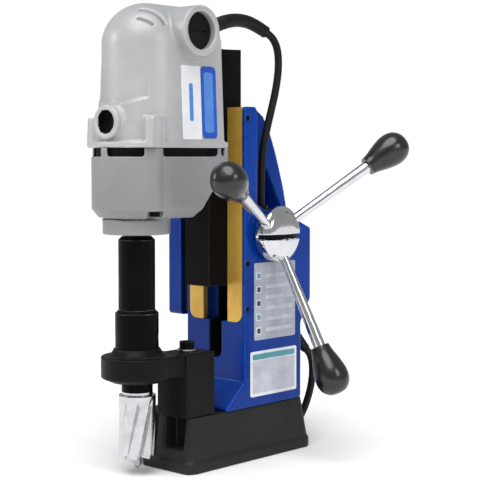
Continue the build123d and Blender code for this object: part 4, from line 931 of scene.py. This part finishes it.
def labels():
    """Generic plates: no lettering, only panels, bands and plain squares."""
    x = 0.037
    panels = []

    def plate(y0, y1, z0, z1, lift, colour, radius):
        panels.append((rounded_plate(y0, y1, z0, z1, x + lift - 0.00015, x + lift, radius), colour))

    y0, y1 = 0.004, 0.060
    plate(y0, y1, 0.107, 0.177, 0.0003, label_grey, 0.002)
    square, rim = 0.0046, 0.0008
    for index, colour in enumerate((label_black, label_teal, label_white, label_black, label_teal)):
        z = 0.113 + index * 0.0125
        plate(y0 + 0.003, y0 + 0.003 + square + 2 * rim, z - rim, z + square + rim, 0.0004, label_white,
              0.0008)
        inner = label_black if colour is label_white else colour
        plate(y0 + 0.0038, y0 + 0.0038 + square, z, z + square, 0.0005, inner, 0.0006)
    for index in range(6):
        z = 0.114 + index * 0.0098
        plate(y0 + 0.015, y1 - 0.004, z, z + 0.0036, 0.0004, label_silver, 0.0006)
    y0, y1 = -0.001, 0.062
    plate(y0, y1, 0.056, 0.097, 0.0003, label_white, 0.002)
    plate(y0 + 0.003, y1 - 0.003, 0.059, 0.0885, 0.0004, label_silver, 0.001)
    plate(y0 + 0.003, y1 - 0.003, 0.0893, 0.0945, 0.0004, label_teal, 0.001)
    label("side_plates", "base", panels, "side_labels")

    # Motor plate: it follows the flared side of the casting.
    panels.clear()
    x = 0.038
    rows = ((-0.089, -0.066, 0.2875, 0.350, 0.0003, label_white, 0.0015),
            (-0.0655, -0.0475, 0.2885, 0.350, 0.0004, label_blue, 0.004),
            (-0.0625, -0.0515, 0.2935, 0.345, 0.00055, label_light_blue, 0.003),
            (-0.0800, -0.0755, 0.3030, 0.335, 0.0004, label_light_blue, 0.0015))
    for y0, y1, z0, z1, lift, colour, radius in rows:
        panels.append((rounded_plate(y0, y1, z0, z1, x + lift - 0.00015, x + lift, radius), colour))
    piece = label("motor_plate", "head", panels, "motor_label")
    for vertex in piece.data.vertices:
        share = between(DOME_Z - vertex.co.z, 0.0, DOME_Z - MOTOR_LOW_Z)
        vertex.co.x += FLARE * share + 0.0001


# ---------------------------------------------------------------- finishes of the CAD nodes
def carried_over():
    """Every CAD node that stays in view gets broken edges and its own finish."""
    machined("slide", black_oxide, 0.0007)
    machined("rack", steel, 0.0002, 1)
    machined("left_gib", brass, 0.0006)
    machined("right_gib", brass, 0.0006)
    machined("gib_screws", black_oxide, 0.0003)
    machined("bracket_washer", steel, 0.0004)
    machined("bracket_bolt", black_oxide, 0.0006)
    machined("switch_box", box_blue, 0.0012, 3)
    machined("box_gasket", rubber, 0.0005)
    machined("box_screws", steel, 0.0004)
    machined("rocker_frame", black_plastic, 0.0004)
    machined("magnet_rocker", green_plastic, 0.0005)
    machined("button_collars", black_plastic, 0.0004)
    machined("start_button", green_plastic, 0.0008, 3)
    machined("stop_button", red_plastic, 0.0012, 3)
    machined("magnet_lamp", lamp_lens, 0.0005)
    machined("brush_caps", black_plastic, 0.0006)
    # Painted shade: the vent band seen through the slots is black.
    machined("vent_band", shade_black, 0.0002, 1)
    machined("case_screws", black_oxide, 0.0004)
    machined("motor_gland", black_plastic, 0.0006)
    machined("cable_entry", black_plastic, 0.0006)
    machined("power_gland", black_plastic, 0.0008)
    machined("plug_pins", brass, 0.0003)
    machined("spindle", arbor_black, 0.0007, 3)
    machined("arbor_screws", black_oxide, 0.0003)
    machined("pilot_pin", steel, 0.0002)
    machined("spokes", chrome, 0.0003)
    inner = {"magnet_coil": copper, "magnet_resin": resin, "pinion_shaft": steel, "pinion_bushes": bronze,
             "bearing_plate": casting_grey, "armature": lamination, "commutator": copper,
             "cooling_fan": black_plastic, "armature_bearings": steel, "stator": lamination,
             "carbon_brushes": carbon, "layshaft": steel, "layshaft_bearings": steel, "spindle_gear": steel,
             "spindle_bearings": steel}
    for node, material in inner.items():
        machined(node, material, 0.0002, 1)


camera()
cords()
studio()
castings()
feed_handle()
annular_cutter()
pilot_spring()
labels()
carried_over()
